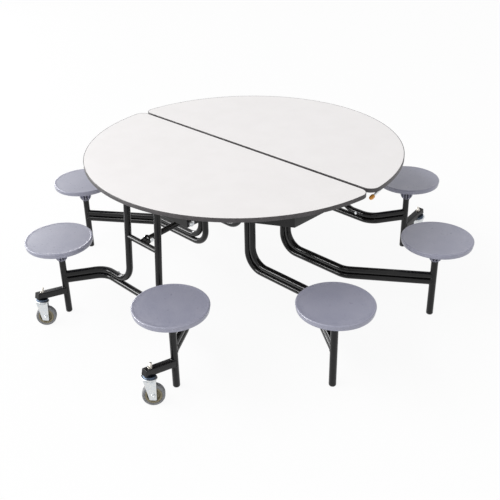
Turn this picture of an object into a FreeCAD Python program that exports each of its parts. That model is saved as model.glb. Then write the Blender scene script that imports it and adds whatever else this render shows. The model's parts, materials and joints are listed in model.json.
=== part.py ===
"""Round folding table with eight attached swivel stools, in millimetres.

Origin: on the floor under the middle of the top. +Z is up, X runs along the split between the
two halves of the top, and the near half lies on the -Y side. The near side is modelled, and the
far side is the same set of pieces turned half a turn about Z.
"""
import FreeCAD, Part
import math
import os

from FreeCAD import Placement, Rotation, Vector

os.makedirs("parts", exist_ok=True)

# ---------------------------------------------------------------- driving dimensions
# Top
TOP_DIAMETER = 1524.0
TOP_HEIGHT = 737.0
TOP_THICKNESS = 19.0
BAND_THICKNESS = 3.0
SPLIT_GAP = 12.0
SPLIT_CORNER_RADIUS = 45.0

# Tube and plate stock
TUBE_DIAMETER = 31.75
TUBE_WALL = 2.0
RAIL_THICKNESS = 3.0
RAIL_DEPTH = 58.0
RAIL_FLANGE = 28.0
WELD_GAP = 0.2
RUNNING_CLEARANCE = 0.05
OPEN_PIVOT_CLEARANCE = 0.3
SIDE_PLAY = 0.6

# Stools
SEAT_RADIUS = 160.5
SEAT_HEIGHT = 412.0
SEAT_RIM_DEPTH = 24.0
SEAT_LIP_RADIUS = 9.0
SEAT_DISH = 3.0
SEAT_DISH_SHARE = 0.75
SEAT_WALL = 5.0
SEAT_RIM_DRAFT = 2.0
SEAT_INNER_CHAMFER = 2.0
SEAT_HUB_DROP = 95.0
SEAT_HUB_TOP_RADIUS = 34.5
SEAT_HUB_BELLY_RADIUS = 31.0
SEAT_HUB_BELLY_HEIGHT = 19.0
SEAT_HUB_SHOULDER_RADIUS = 26.0
SEAT_HUB_SHOULDER_HEIGHT = 8.0
SEAT_HUB_BOTTOM_RADIUS = 17.5
SEAT_RIB_COUNT = 12
SEAT_RIB_THICKNESS = 4.0
SEAT_RIB_BITE = 1.0
SPINDLE_RADIUS = 9.5
SPINDLE_COLLAR_RADIUS = 17.0
SPINDLE_COLLAR_HEIGHT = 5.5
SPINDLE_PLUG_LENGTH = 30.0
GLIDE_HEIGHT = 9.0
GLIDE_PLUG_LENGTH = 26.0
GLIDE_SHARES = ((0.68, 0.0), (0.88, 0.22), (0.97, 0.6), (1.0, 1.0))

# Plan of the frames: from the middle of the table, or in and out from the edge of the top
LEG_X = 108.0
LEG_LEAN = 27.0
LEG_BEND_RADIUS = 88.9
LEG_CORNER_X = 303.0
LEG_CORNER_RADIUS = 90.0
LEG_POST_X = 408.0
LEG_POST_REACH = 173.5
LOWER_TUBE_HEIGHT = 180.0
CENTRE_FRAME_Y = 127.0
CENTRE_LOOP_X = 168.0
CENTRE_BEND_RADIUS = 88.9
CENTRE_CORNER_X = 541.6
CENTRE_CORNER_RADIUS = 88.9
CENTRE_POST_OUTSET = 114.0
CENTRE_POST_Y = 365.0
CENTRE_TUBE_DROP = 58.0

# Pivots: inwards from the edge of the top, and down from its underside
LEG_PIVOT_INSET = 135.0
LEG_PIVOT_DROP = 43.0
HINGE_Y = 127.0
HINGE_DROP = 14.0
LINK_INSET = 24.0
LINK_DROP = 203.0
PIVOT_ROD_RADIUS = 8.0
PIVOT_ROD_END = 5.0
PIVOT_SLEEVE_RADIUS = 16.0
PIVOT_SLEEVE_HALF_LENGTH = 130.0
PIVOT_NUT_FLATS = 24.0
PIVOT_NUT_HEIGHT = 9.0
HINGE_HEAD_RADIUS = 13.0
HINGE_HEAD_HEIGHT = 6.0

# Chassis under each half
SIDE_RAIL_X = 325.0
SIDE_RAIL_INNER_Y = 50.0
CROSS_RAIL_OUTSET = 20.0
LEG_NOTCH_CLEARANCE = 2.2
LEG_NOTCH_ABOVE_PIVOT = 20.0
WING_START_SETBACK = 119.0
WING_INSET = 116.0
WING_CORNER_Y = 351.0
WING_END_Y = 45.0

# Link bars, crossbars and brackets
LINK_WIDTH = 22.0
LINK_DEPTH = 20.0
LINK_WALL = 2.5
LINK_PIN_RADIUS = 6.0
LINK_PIN_HEAD_RADIUS = 10.0
LINK_PIN_HEAD_HEIGHT = 6.0
CROSSBAR_RADIUS = 12.7
LEG_CROSSBAR_BELOW_LINK = 12.0
CENTRE_CROSSBAR_ABOVE_LINK = 37.0
CHEEK_THICKNESS = 5.0
CHEEK_RADIUS = 12.0
STOP_BOLT_X = 224.0
STOP_BOLT_RADIUS = 4.0
STOP_BOLT_HEAD_FLATS = 14.0
STOP_BOLT_HEAD_HEIGHT = 6.0

# Head plates and latch of the centre frame
HEAD_PLATE_THICKNESS = 6.0
HEAD_PLATE_LAP = 48.0
HEAD_PLATE_CORNER = 12.0
SECTOR_RADIUS = 24.0
SECTOR_THICKNESS = 6.0
SECTOR_NOTCH_DEPTH = 4.0
SECTOR_NOTCH_WIDTH = 8.0

# Release lever
LEVER_Y = 200.0
LEVER_DROP = 28.0
LEVER_ROD_RADIUS = 5.0
LEVER_CRANK_CLEARANCE = 56.0
LEVER_BEND_RADIUS = 18.0
LEVER_TIP_OUTSET = 5.6
LEVER_TIP_Y = 65.0
LEVER_TIP_DROP = 58.0
LEVER_GRIP_RADIUS = 9.5
LEVER_GRIP_LENGTH = 26.0
LEVER_GRIP_END = 7.5
PAWL_HALF_WIDTH = 5.0
PAWL_TIP_Y = 135.0
PAWL_TIP_DROP = 47.0

# Casters
CASTER_TILT = 12.0
CASTER_ARM_WIDTH = 31.75
CASTER_ARM_WALL = 2.5
CASTER_ARM_Z = 126.0
CASTER_ARM_REACH = 161.0
CASTER_STEM_REACH = 132.5
CASTER_STEM_RADIUS = 6.0
CASTER_NUT_FLATS = 17.0
CASTER_NUT_HEIGHT = 9.0
CASTER_THREAD_ABOVE_NUT = 14.0
RACEWAY_RADIUS = 28.0
RACEWAY_HEIGHT = 8.0
CROWN_RADIUS = 35.0
CROWN_SHOULDER = 3.0
CROWN_FOOT_RADIUS = 27.0
CROWN_HEIGHT = 15.0
STEM_RIVET_RADIUS = 8.0
STEM_RIVET_HEIGHT = 3.5
CASTER_TRAIL = 26.0
CASTER_HEADING = 50.0
WHEEL_RADIUS = 48.0
WHEEL_WIDTH = 30.0
TREAD_FILLET = 6.0
TREAD_INNER_RADIUS = 36.0
WHEEL_RIM_THICKNESS = 8.0
WHEEL_DRAFT = 2.0
WHEEL_HUB_RADIUS = 13.0
WHEEL_WEB = 8.0
AXLE_RADIUS = 5.0
AXLE_NUT_FLATS = 15.0
AXLE_NUT_HEIGHT = 6.0
FORK_THICKNESS = 3.0
FORK_SIDE_GAP = 1.0
FORK_TOP_HALF_WIDTH = 28.0
FORK_FOOT_HALF_WIDTH = 15.0
FORK_FOOT_BELOW_AXLE = 21.0
FORK_FOOT_CORNER = 5.0

# Screws that hold the top panels
SCREW_RADIUS = 2.5
SCREW_HEAD_RADIUS = 5.0
SCREW_HEAD_HEIGHT = 3.0
SCREW_BITE = 12.0
SCREW_CLEARANCE = 0.1
SIDE_RAIL_SCREWS = (62.0, 247.0, 432.0)
CROSS_RAIL_SCREWS_X = (210.0,)
WING_SCREWS_Y = (300.0, 95.0)
WING_DIAGONAL_SCREW = 0.5
EDGE_SCREW_X = 130.0
EDGE_SCREW_INSET = 50.0
EDGE_SCREW_HEAD_RADIUS = 6.0
EDGE_SCREW_HEAD_HEIGHT = 9.0

# ---------------------------------------------------------------- worked out from them
TUBE_RADIUS = TUBE_DIAMETER / 2
TUBE_BORE = TUBE_RADIUS - TUBE_WALL
TOP_RADIUS = TOP_DIAMETER / 2
UNDERSIDE = TOP_HEIGHT - TOP_THICKNESS
RAIL_BOTTOM = UNDERSIDE - RAIL_DEPTH
FLANGE_BOTTOM = UNDERSIDE - RAIL_THICKNESS
UPPER_TUBE_HEIGHT = LOWER_TUBE_HEIGHT + TUBE_DIAMETER + WELD_GAP
LOOP_HALF_PITCH = (TUBE_DIAMETER + WELD_GAP) / 2
LEG_PIVOT_Y = TOP_RADIUS - LEG_PIVOT_INSET
LEG_PIVOT_Z = UNDERSIDE - LEG_PIVOT_DROP
LEG_FRAME_Y = LEG_PIVOT_Y + LEG_LEAN
LEG_POST_Y = LEG_FRAME_Y + LEG_POST_REACH
CENTRE_POST_X = TOP_RADIUS + CENTRE_POST_OUTSET
CENTRE_TUBE_TOP = UNDERSIDE - CENTRE_TUBE_DROP
HINGE_Z = UNDERSIDE - HINGE_DROP
CROSS_RAIL_Y = LEG_PIVOT_Y + CROSS_RAIL_OUTSET
LEG_NOTCH_WIDTH = TUBE_DIAMETER + 2 * LEG_NOTCH_CLEARANCE
LEG_NOTCH_TOP = LEG_PIVOT_Z + LEG_NOTCH_ABOVE_PIVOT
WING_X = TOP_RADIUS - WING_INSET
WING_START_Y = CROSS_RAIL_Y - WING_START_SETBACK
LINK_LEG_Y = LEG_PIVOT_Y - LINK_INSET
LINK_LEG_Z = LEG_PIVOT_Z - LINK_DROP
SEAT_HUB_BOTTOM = SEAT_HEIGHT - SEAT_RIM_DEPTH - SEAT_HUB_DROP
POST_TOP = SEAT_HUB_BOTTOM - SPINDLE_COLLAR_HEIGHT - SIDE_PLAY
LINK_CENTRE_Y = LINK_LEG_Y - (LEG_PIVOT_Y - HINGE_Y)
LINK_CENTRE_Z = LINK_LEG_Z + (HINGE_Z - LEG_PIVOT_Z)
LEG_CROSSBAR_Z = LINK_LEG_Z - LEG_CROSSBAR_BELOW_LINK
CENTRE_CROSSBAR_Z = LINK_CENTRE_Z + CENTRE_CROSSBAR_ABOVE_LINK
CHEEK_INNER_X = LINK_WIDTH / 2 + SIDE_PLAY
HEAD_PLATE_BOTTOM = CENTRE_TUBE_TOP - HEAD_PLATE_LAP
HEAD_PLATE_X = CENTRE_LOOP_X + LOOP_HALF_PITCH + TUBE_RADIUS + WELD_GAP
SECTOR_X = HEAD_PLATE_X + HEAD_PLATE_THICKNESS
LEVER_Z = UNDERSIDE - LEVER_DROP
LEVER_CRANK_X = WING_X + LEVER_CRANK_CLEARANCE
LEVER_TIP_X = LEVER_CRANK_X + LEVER_TIP_OUTSET
LEVER_TIP_Z = UNDERSIDE - LEVER_TIP_DROP
PAWL_TIP_Z = UNDERSIDE - PAWL_TIP_DROP
TILT = math.radians(CASTER_TILT)
HEADING = math.radians(CASTER_HEADING)

X_AXIS = Vector(1, 0, 0)
Y_AXIS = Vector(0, 1, 0)
Z_AXIS = Vector(0, 0, 1)
ORIGIN = Vector(0, 0, 0)


# ---------------------------------------------------------------- helpers
def export(name, solids):
    """Write one node, a list of separate solids, to its STEP file and report its volume."""
    for solid in solids:
        if not solid.isValid() or solid.Volume <= 0:
            raise ValueError(name + " holds a solid that is not valid")
    shape = solids[0] if len(solids) == 1 else Part.makeCompound(solids)
    shape.exportStep("parts/" + name + ".step")
    print(name, len(solids), "solids", round(shape.Volume / 1000.0, 1), "cm3")


def one_solid(shape):
    """The single solid of a shape made by fusing or cutting."""
    solids = shape.Solids
    if len(solids) != 1:
        raise ValueError("expected one solid, found " + str(len(solids)))
    return solids[0]


def turned(solids):
    """The same solids on the far side: half a turn about Z."""
    copies = []
    for solid in solids:
        copy = solid.copy()
        copy.rotate(ORIGIN, Z_AXIS, 180)
        copies.append(copy)
    return copies


def cylinder(radius, start, end):
    """A solid round bar from start to end."""
    along = end - start
    return Part.makeCylinder(radius, along.Length, start, along)


def ring(outer, inner, start, end):
    """A round tube from start to end."""
    return cylinder(outer, start, end).cut(cylinder(inner, start, end)).Solids[0]


def hexagon(flats, start, end):
    """A hexagonal nut or head, flats across, from start to end."""
    corner = flats / math.sqrt(3)
    points = [Vector(corner * math.cos(math.radians(60 * k)), corner * math.sin(math.radians(60 * k)), 0)
              for k in range(7)]
    along = end - start
    prism = Part.Face(Part.makePolygon(points)).extrude(Vector(0, 0, along.Length))
    prism.Placement = Placement(start, Rotation(Z_AXIS, along))
    return prism


def rounded_path(points, radii):
    """Straight runs through the points, with an arc of the given radius at each inner point."""
    edges = []
    last = points[0]
    for before, corner, after, radius in zip(points, points[1:], points[2:], radii):
        arrive = (corner - before).normalize()
        leave = (after - corner).normalize()
        turn = arrive.getAngle(leave)
        setback = radius * math.tan(turn / 2)
        first = corner - arrive * setback
        second = corner + leave * setback
        inward = (leave - arrive).normalize()
        middle = corner + inward * (radius / math.cos(turn / 2) - radius)
        edges.append(Part.LineSegment(last, first).toShape())
        edges.append(Part.Arc(first, middle, second).toShape())
        last = second
    edges.append(Part.LineSegment(last, points[-1]).toShape())
    return Part.Wire(edges)


def swept_rod(points, radii, radius):
    """A round rod of the given radius along a rounded path."""
    path = rounded_path(points, radii)
    start_direction = points[1] - points[0]
    section = Part.Wire([Part.makeCircle(radius, points[0], start_direction)])
    return path.makePipeShell([section], True, False).Solids[0]


def swept_tube(points, radii, outer, inner):
    """A round tube along a rounded path."""
    return one_solid(swept_rod(points, radii, outer).cut(swept_rod(points, radii, inner)))


def stadium(y_a, z_a, y_b, z_b, radius, x_start, x_end):
    """A plate between x_start and x_end whose outline is a bar with round ends about two points."""
    a = Vector(x_start, y_a, z_a)
    b = Vector(x_start, y_b, z_b)
    along = (b - a).normalize()
    side = X_AXIS.cross(along) * radius
    outline = Part.Wire([
        Part.LineSegment(a + side, b + side).toShape(),
        Part.Arc(b + side, b + along * radius, b - side).toShape(),
        Part.LineSegment(b - side, a - side).toShape(),
        Part.Arc(a - side, a - along * radius, a + side).toShape(),
    ])
    return Part.Face(outline).extrude(Vector(x_end - x_start, 0, 0))


def revolved(profile, axis_point=ORIGIN, axis=Z_AXIS):
    """A solid of revolution of a closed outline of (radius, height) points about Z."""
    points = [Vector(r, 0, z) for r, z in profile]
    points.append(points[0])
    return Part.Face(Part.makePolygon(points)).revolve(axis_point, axis, 360)


def strip(points, near_offset, far_offset, bottom, top):
    """A strip in plan between two offsets to the left of a polyline, from bottom to top."""
    def shifted(offset):
        moved = []
        for index, point in enumerate(points):
            normals = []
            for a, b in ((index - 1, index), (index, index + 1)):
                if a >= 0 and b < len(points):
                    run = (points[b] - points[a]).normalize()
                    normals.append(Vector(-run.y, run.x, 0))
            total = normals[0] if len(normals) == 1 else normals[0] + normals[1]
            scale = 1.0 if len(normals) == 1 else 2.0 / total.dot(total)
            moved.append(point + total * (offset * scale))
        return moved
    outline = shifted(near_offset) + list(reversed(shifted(far_offset)))
    outline = [Vector(p.x, p.y, bottom) for p in outline]
    return Part.Face(Part.makePolygon(outline + [outline[0]])).extrude(Vector(0, 0, top - bottom))


def half_disc(radius, split_y, corner_radius, bottom, top):
    """A D-shaped slab on the near side, with rounded corners at the ends of its straight edge."""
    disc = Part.makeCylinder(radius, top - bottom, Vector(0, 0, bottom))
    keep = Part.makeBox(2 * radius, radius, top - bottom, Vector(-radius, -radius - split_y, bottom))
    slab = one_solid(disc.common(keep))
    corners = [edge for edge in slab.Edges
               if abs(edge.Vertexes[0].Z - edge.Vertexes[-1].Z) > (top - bottom) / 2
               and abs(edge.Vertexes[0].Y + split_y) < 0.01]
    return one_solid(slab.makeFillet(corner_radius, corners))


# ---------------------------------------------------------------- places used by several pieces
LEG_POSTS = [Vector(side * LEG_POST_X, -LEG_POST_Y, 0) for side in (-1, 1)]
CENTRE_POSTS = [Vector(side * CENTRE_POST_X, end * CENTRE_POST_Y, 0) for end in (-1, 1) for side in (-1, 1)]


def post_envelope(place):
    """The outside of a post, with the weld gap, for coping the tubes that meet it."""
    return Part.makeCylinder(TUBE_RADIUS + WELD_GAP, TOP_HEIGHT, place)


def screw_places():
    """Plan positions of the screws that go up through the rail flanges of the near half."""
    inset = RAIL_THICKNESS + (RAIL_FLANGE - RAIL_THICKNESS) / 2
    places = []
    for side in (-1, 1):
        for back in SIDE_RAIL_SCREWS:
            places.append(Vector(side * (SIDE_RAIL_X - inset), back - CROSS_RAIL_Y, 0))
        for x in CROSS_RAIL_SCREWS_X:
            places.append(Vector(side * x, -CROSS_RAIL_Y + inset, 0))
        for y in WING_SCREWS_Y:
            places.append(Vector(side * (WING_X - inset), -y, 0))
        run = Vector(WING_X - SIDE_RAIL_X, WING_START_Y - WING_CORNER_Y, 0)
        inward = Vector(-run.y, run.x, 0).normalize() * inset
        middle = Vector(SIDE_RAIL_X, -WING_START_Y, 0) + run * WING_DIAGONAL_SCREW + inward
        places.append(Vector(side * middle.x, middle.y, 0))
    return places


# ---------------------------------------------------------------- top halves
def top_panel():
    """Laminated board of one half, inside its edge band, with the pilot holes of its screws."""
    inner_split = SPLIT_GAP / 2 + BAND_THICKNESS
    slab = half_disc(TOP_RADIUS - BAND_THICKNESS, inner_split, SPLIT_CORNER_RADIUS - BAND_THICKNESS,
                     UNDERSIDE, TOP_HEIGHT)
    pilots = [Part.makeCylinder(SCREW_RADIUS + SCREW_CLEARANCE, SCREW_BITE + SCREW_CLEARANCE,
                                Vector(place.x, place.y, UNDERSIDE))
              for place in screw_places() + [Vector(EDGE_SCREW_X, EDGE_SCREW_INSET - TOP_RADIUS, 0)]]
    return [one_solid(slab.cut(pilots))]


def edge_band():
    """Vinyl band round one half."""
    outer = half_disc(TOP_RADIUS, SPLIT_GAP / 2, SPLIT_CORNER_RADIUS, UNDERSIDE, TOP_HEIGHT)
    inner = half_disc(TOP_RADIUS - BAND_THICKNESS, SPLIT_GAP / 2 + BAND_THICKNESS,
                      SPLIT_CORNER_RADIUS - BAND_THICKNESS, UNDERSIDE, TOP_HEIGHT)
    return [one_solid(outer.cut(inner))]


def flange_holes():
    """Cutters for the screw holes in the rail flanges."""
    return [Part.makeCylinder(SCREW_RADIUS + SCREW_CLEARANCE, 3 * RAIL_THICKNESS,
                              Vector(place.x, place.y, FLANGE_BOTTOM - RAIL_THICKNESS))
            for place in screw_places()]


def angle_rail(points):
    """An angle section: a web on the line of the points, its flange to the left under the top."""
    web = strip(points, 0, RAIL_THICKNESS, RAIL_BOTTOM, UNDERSIDE)
    flange = strip(points, 0, RAIL_FLANGE, FLANGE_BOTTOM, UNDERSIDE)
    return web.fuse(flange).removeSplitter()


def side_rail(side, lever_hole):
    """Side rail of one half, with the holes of the leg pivot, the hinge rod and the lever."""
    ends = [Vector(side * SIDE_RAIL_X, -CROSS_RAIL_Y + RAIL_FLANGE + WELD_GAP, 0),
            Vector(side * SIDE_RAIL_X, -SIDE_RAIL_INNER_Y, 0)]
    flange_rail = angle_rail(ends if side > 0 else list(reversed(ends)))
    tail = Part.makeBox(RAIL_THICKNESS, RAIL_FLANGE - RAIL_THICKNESS, RAIL_DEPTH - RAIL_THICKNESS - WELD_GAP,
                        Vector(SIDE_RAIL_X - RAIL_THICKNESS if side > 0 else -SIDE_RAIL_X,
                               -CROSS_RAIL_Y + RAIL_THICKNESS + WELD_GAP, RAIL_BOTTOM))
    rail = flange_rail.fuse(tail).removeSplitter()
    bore = PIVOT_ROD_RADIUS + RUNNING_CLEARANCE
    reach = 2 * SIDE_RAIL_X
    cutters = [Part.makeCylinder(bore, reach, Vector(-SIDE_RAIL_X, -y, z), X_AXIS)
               for y, z in ((LEG_PIVOT_Y, LEG_PIVOT_Z), (HINGE_Y, HINGE_Z))]
    if lever_hole:
        cutters.append(lever_bore())
    return one_solid(rail.cut(cutters + flange_holes()))


def lever_bore():
    """Cutter for the lever's shaft, in the place it has before the far half is turned."""
    return Part.makeCylinder(LEVER_ROD_RADIUS + RUNNING_CLEARANCE, 2 * WING_X,
                             Vector(-LEVER_CRANK_X, -LEVER_Y, LEVER_Z), X_AXIS)


def cross_rail():
    """Cross rail behind the leg pivot, notched so that the legs can swing through it."""
    rail = angle_rail([Vector(-SIDE_RAIL_X, -CROSS_RAIL_Y, 0), Vector(SIDE_RAIL_X, -CROSS_RAIL_Y, 0)])
    notches = [Part.makeBox(LEG_NOTCH_WIDTH, 2 * RAIL_FLANGE, LEG_NOTCH_TOP - RAIL_BOTTOM,
                            Vector(side * LEG_X - LEG_NOTCH_WIDTH / 2, -CROSS_RAIL_Y - RAIL_FLANGE, RAIL_BOTTOM))
               for side in (-1, 1)]
    return one_solid(rail.cut(notches + flange_holes()))


def chassis(lever_hole):
    """Cross rail and the two side rails of one half."""
    return [cross_rail(), side_rail(-1, lever_hole), side_rail(1, False)]


def wing_rails(lever_hole):
    """The two rails that carry the sides of one half, each bent once in plan."""
    rails = []
    for side in (-1, 1):
        points = [Vector(side * SIDE_RAIL_X, -WING_START_Y, 0), Vector(side * WING_X, -WING_CORNER_Y, 0),
                  Vector(side * WING_X, -WING_END_Y, 0)]
        rail = angle_rail(points if side > 0 else list(reversed(points)))
        room = SIDE_RAIL_X + WELD_GAP
        inside = Part.makeBox(2 * room, TOP_DIAMETER, RAIL_DEPTH, Vector(-room, -TOP_DIAMETER, RAIL_BOTTOM))
        cutters = [inside] + flange_holes()
        if lever_hole and side < 0:
            cutters.append(lever_bore())
        rails.append(one_solid(rail.cut(cutters)))
    return rails


def chassis_hardware():
    """Leg pivot rod with its two nuts, and the screws that hold the top panel."""
    rod_end = SIDE_RAIL_X + PIVOT_NUT_HEIGHT + PIVOT_ROD_END
    pieces = [cylinder(PIVOT_ROD_RADIUS, Vector(-rod_end, -LEG_PIVOT_Y, LEG_PIVOT_Z),
                       Vector(rod_end, -LEG_PIVOT_Y, LEG_PIVOT_Z))]
    for side in (-1, 1):
        start = Vector(side * SIDE_RAIL_X, -LEG_PIVOT_Y, LEG_PIVOT_Z)
        end = start + X_AXIS * (side * PIVOT_NUT_HEIGHT)
        bore = cylinder(PIVOT_ROD_RADIUS + RUNNING_CLEARANCE, start, end)
        pieces.append(one_solid(hexagon(PIVOT_NUT_FLATS, start, end).cut(bore)))
    for place in screw_places():
        head = Part.makeCylinder(SCREW_HEAD_RADIUS, SCREW_HEAD_HEIGHT,
                                 Vector(place.x, place.y, FLANGE_BOTTOM - SCREW_HEAD_HEIGHT))
        shank = Part.makeCylinder(SCREW_RADIUS, RAIL_THICKNESS + SCREW_BITE, Vector(place.x, place.y, FLANGE_BOTTOM))
        pieces.append(one_solid(head.fuse(shank)))
    place = Vector(EDGE_SCREW_X, EDGE_SCREW_INSET - TOP_RADIUS, UNDERSIDE)
    head = Part.makeCylinder(EDGE_SCREW_HEAD_RADIUS, EDGE_SCREW_HEAD_HEIGHT,
                             place - Z_AXIS * EDGE_SCREW_HEAD_HEIGHT)
    pieces.append(one_solid(head.fuse(Part.makeCylinder(SCREW_RADIUS, SCREW_BITE, place))))
    return pieces


# ---------------------------------------------------------------- leg frames
def leg_route(side):
    """Points of an upper tube: stool post, corner, foot of the leg, leg pivot."""
    return [Vector(side * LEG_POST_X, -LEG_POST_Y, UPPER_TUBE_HEIGHT),
            Vector(side * LEG_CORNER_X, -LEG_FRAME_Y, UPPER_TUBE_HEIGHT),
            Vector(side * LEG_X, -LEG_FRAME_Y, UPPER_TUBE_HEIGHT),
            Vector(side * LEG_X, -LEG_PIVOT_Y, LEG_PIVOT_Z)]


def leg_y_at(height):
    """Distance of the leaning leg's axis from the middle, at a height."""
    share = (height - UPPER_TUBE_HEIGHT) / (LEG_PIVOT_Z - UPPER_TUBE_HEIGHT)
    return LEG_FRAME_Y + (LEG_PIVOT_Y - LEG_FRAME_Y) * share


def stop_bolt_hole(side):
    """Cutter for the stop bolt, into the inner wall of the upper tube."""
    return cylinder(STOP_BOLT_RADIUS + SCREW_CLEARANCE, Vector(side * STOP_BOLT_X, -LEG_FRAME_Y, UPPER_TUBE_HEIGHT),
                    Vector(side * STOP_BOLT_X, -LEG_FRAME_Y + 2 * TUBE_RADIUS, UPPER_TUBE_HEIGHT))


def leg_tubes():
    """Two upper tubes, each a stool arm that turns up into a leg, and the pivot sleeve on top."""
    start = Vector(-PIVOT_SLEEVE_HALF_LENGTH, -LEG_PIVOT_Y, LEG_PIVOT_Z)
    end = Vector(PIVOT_SLEEVE_HALF_LENGTH, -LEG_PIVOT_Y, LEG_PIVOT_Z)
    sleeve_outside = cylinder(PIVOT_SLEEVE_RADIUS + WELD_GAP, start, end)
    pieces = []
    for side, post in zip((-1, 1), LEG_POSTS):
        tube = swept_tube(leg_route(side), [LEG_CORNER_RADIUS, LEG_BEND_RADIUS], TUBE_RADIUS, TUBE_BORE)
        trimmed = tube.cut([post_envelope(post), sleeve_outside, stop_bolt_hole(side)])
        pieces.append(max(trimmed.Solids, key=lambda solid: solid.Volume))
    pieces.append(ring(PIVOT_SLEEVE_RADIUS, PIVOT_ROD_RADIUS + RUNNING_CLEARANCE, start, end))
    return pieces


def lower_tube():
    """One tube under the stool arms, from post to post."""
    route = [Vector(-LEG_POST_X, -LEG_POST_Y, LOWER_TUBE_HEIGHT),
             Vector(-LEG_CORNER_X, -LEG_FRAME_Y, LOWER_TUBE_HEIGHT),
             Vector(LEG_CORNER_X, -LEG_FRAME_Y, LOWER_TUBE_HEIGHT),
             Vector(LEG_POST_X, -LEG_POST_Y, LOWER_TUBE_HEIGHT)]
    tube = swept_tube(route, [LEG_CORNER_RADIUS, LEG_CORNER_RADIUS], TUBE_RADIUS, TUBE_BORE)
    trimmed = tube.cut([post_envelope(post) for post in LEG_POSTS])
    return [max(trimmed.Solids, key=lambda solid: solid.Volume)]


def posts(places):
    """Stool posts, from the glide to the seat spindle."""
    return [ring(TUBE_RADIUS, TUBE_BORE, place + Z_AXIS * GLIDE_HEIGHT, place + Z_AXIS * POST_TOP)
            for place in places]


def glides(places):
    """Plastic glides that plug into the feet of the posts."""
    plug = TUBE_BORE - SCREW_CLEARANCE
    profile = [(0, 0)] + [(share * TUBE_RADIUS, rise * GLIDE_HEIGHT) for share, rise in GLIDE_SHARES]
    profile += [(plug, GLIDE_HEIGHT), (plug, GLIDE_HEIGHT + GLIDE_PLUG_LENGTH), (0, GLIDE_HEIGHT + GLIDE_PLUG_LENGTH)]
    return [revolved(profile).translated(place) for place in places]


def seat_spindles(places):
    """Steel spindles in the post tops, on which the seats turn."""
    plug = TUBE_BORE - SCREW_CLEARANCE
    collar_top = POST_TOP + SPINDLE_COLLAR_HEIGHT
    top = seat_bore_top() - SIDE_PLAY
    profile = [(0, POST_TOP - SPINDLE_PLUG_LENGTH), (plug, POST_TOP - SPINDLE_PLUG_LENGTH), (plug, POST_TOP),
               (SPINDLE_COLLAR_RADIUS, POST_TOP), (SPINDLE_COLLAR_RADIUS, collar_top),
               (SPINDLE_RADIUS, collar_top), (SPINDLE_RADIUS, top), (0, top)]
    return [revolved(profile).translated(place) for place in places]


def cheeks(pivot_y, pivot_z, bar_y, bar_z):
    """Two bracket plates from a crossbar to a link pivot, coped to the bar and bored for the pin."""
    plates = []
    for side in (-1, 1):
        inner = side * CHEEK_INNER_X
        outer = side * (CHEEK_INNER_X + CHEEK_THICKNESS)
        plate = stadium(-pivot_y, pivot_z, -bar_y, bar_z, CHEEK_RADIUS, min(inner, outer), max(inner, outer))
        bar = crossbar_envelope(bar_y, bar_z, WELD_GAP)
        bore = Part.makeCylinder(LINK_PIN_RADIUS + RUNNING_CLEARANCE, 4 * LINK_WIDTH,
                                 Vector(-2 * LINK_WIDTH, -pivot_y, pivot_z), X_AXIS)
        trimmed = plate.cut([bar, bore])
        plates.append(max(trimmed.Solids, key=lambda solid: solid.Volume))
    return plates


def crossbar_envelope(y, z, gap):
    """The outside of a crossbar, grown by a gap."""
    return Part.makeCylinder(CROSSBAR_RADIUS + gap, 2 * CENTRE_LOOP_X, Vector(-CENTRE_LOOP_X, -y, z), X_AXIS)


def leg_crossbar():
    """Bar between the two legs, with the bracket of the link."""
    bar_y = leg_y_at(LEG_CROSSBAR_Z)
    bar = ring(CROSSBAR_RADIUS, CROSSBAR_RADIUS - TUBE_WALL, Vector(-LEG_X, -bar_y, LEG_CROSSBAR_Z),
               Vector(LEG_X, -bar_y, LEG_CROSSBAR_Z))
    legs = [cylinder(TUBE_RADIUS + WELD_GAP, leg_route(side)[2], leg_route(side)[3]) for side in (-1, 1)]
    return [one_solid(bar.cut(legs))] + cheeks(LINK_LEG_Y, LINK_LEG_Z, bar_y, LEG_CROSSBAR_Z)


def link_pin(pivot_y, pivot_z):
    """Pin of a link, with a head outside each bracket plate."""
    half = CHEEK_INNER_X + CHEEK_THICKNESS
    centre = Vector(0, -pivot_y, pivot_z)
    pin = cylinder(LINK_PIN_RADIUS, centre - X_AXIS * half, centre + X_AXIS * half)
    for side in (-1, 1):
        start = centre + X_AXIS * (side * half)
        pin = pin.fuse(cylinder(LINK_PIN_HEAD_RADIUS, start, start + X_AXIS * (side * LINK_PIN_HEAD_HEIGHT)))
    return one_solid(pin.removeSplitter())


def frame_bolts():
    """Zinc bolts of a leg frame: the link pin and the two stop bolts."""
    pieces = [link_pin(LINK_LEG_Y, LINK_LEG_Z)]
    for side in (-1, 1):
        face = Vector(side * STOP_BOLT_X, -LEG_FRAME_Y + TUBE_RADIUS, UPPER_TUBE_HEIGHT)
        shank = cylinder(STOP_BOLT_RADIUS, face - Y_AXIS * TUBE_RADIUS, face)
        head = hexagon(STOP_BOLT_HEAD_FLATS, face, face + Y_AXIS * STOP_BOLT_HEAD_HEIGHT)
        pieces.append(one_solid(shank.fuse(head)))
    return pieces


# ---------------------------------------------------------------- centre frame
def loop_route(side, end, outward, height):
    """Points of one tube of the centre frame: top, foot bend, corner, stool post."""
    x = side * (CENTRE_LOOP_X + outward)
    y = end * CENTRE_FRAME_Y
    return [Vector(x, y, CENTRE_TUBE_TOP), Vector(x, y, height), Vector(side * CENTRE_CORNER_X, y, height),
            Vector(side * CENTRE_POST_X, end * CENTRE_POST_Y, height)]


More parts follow.
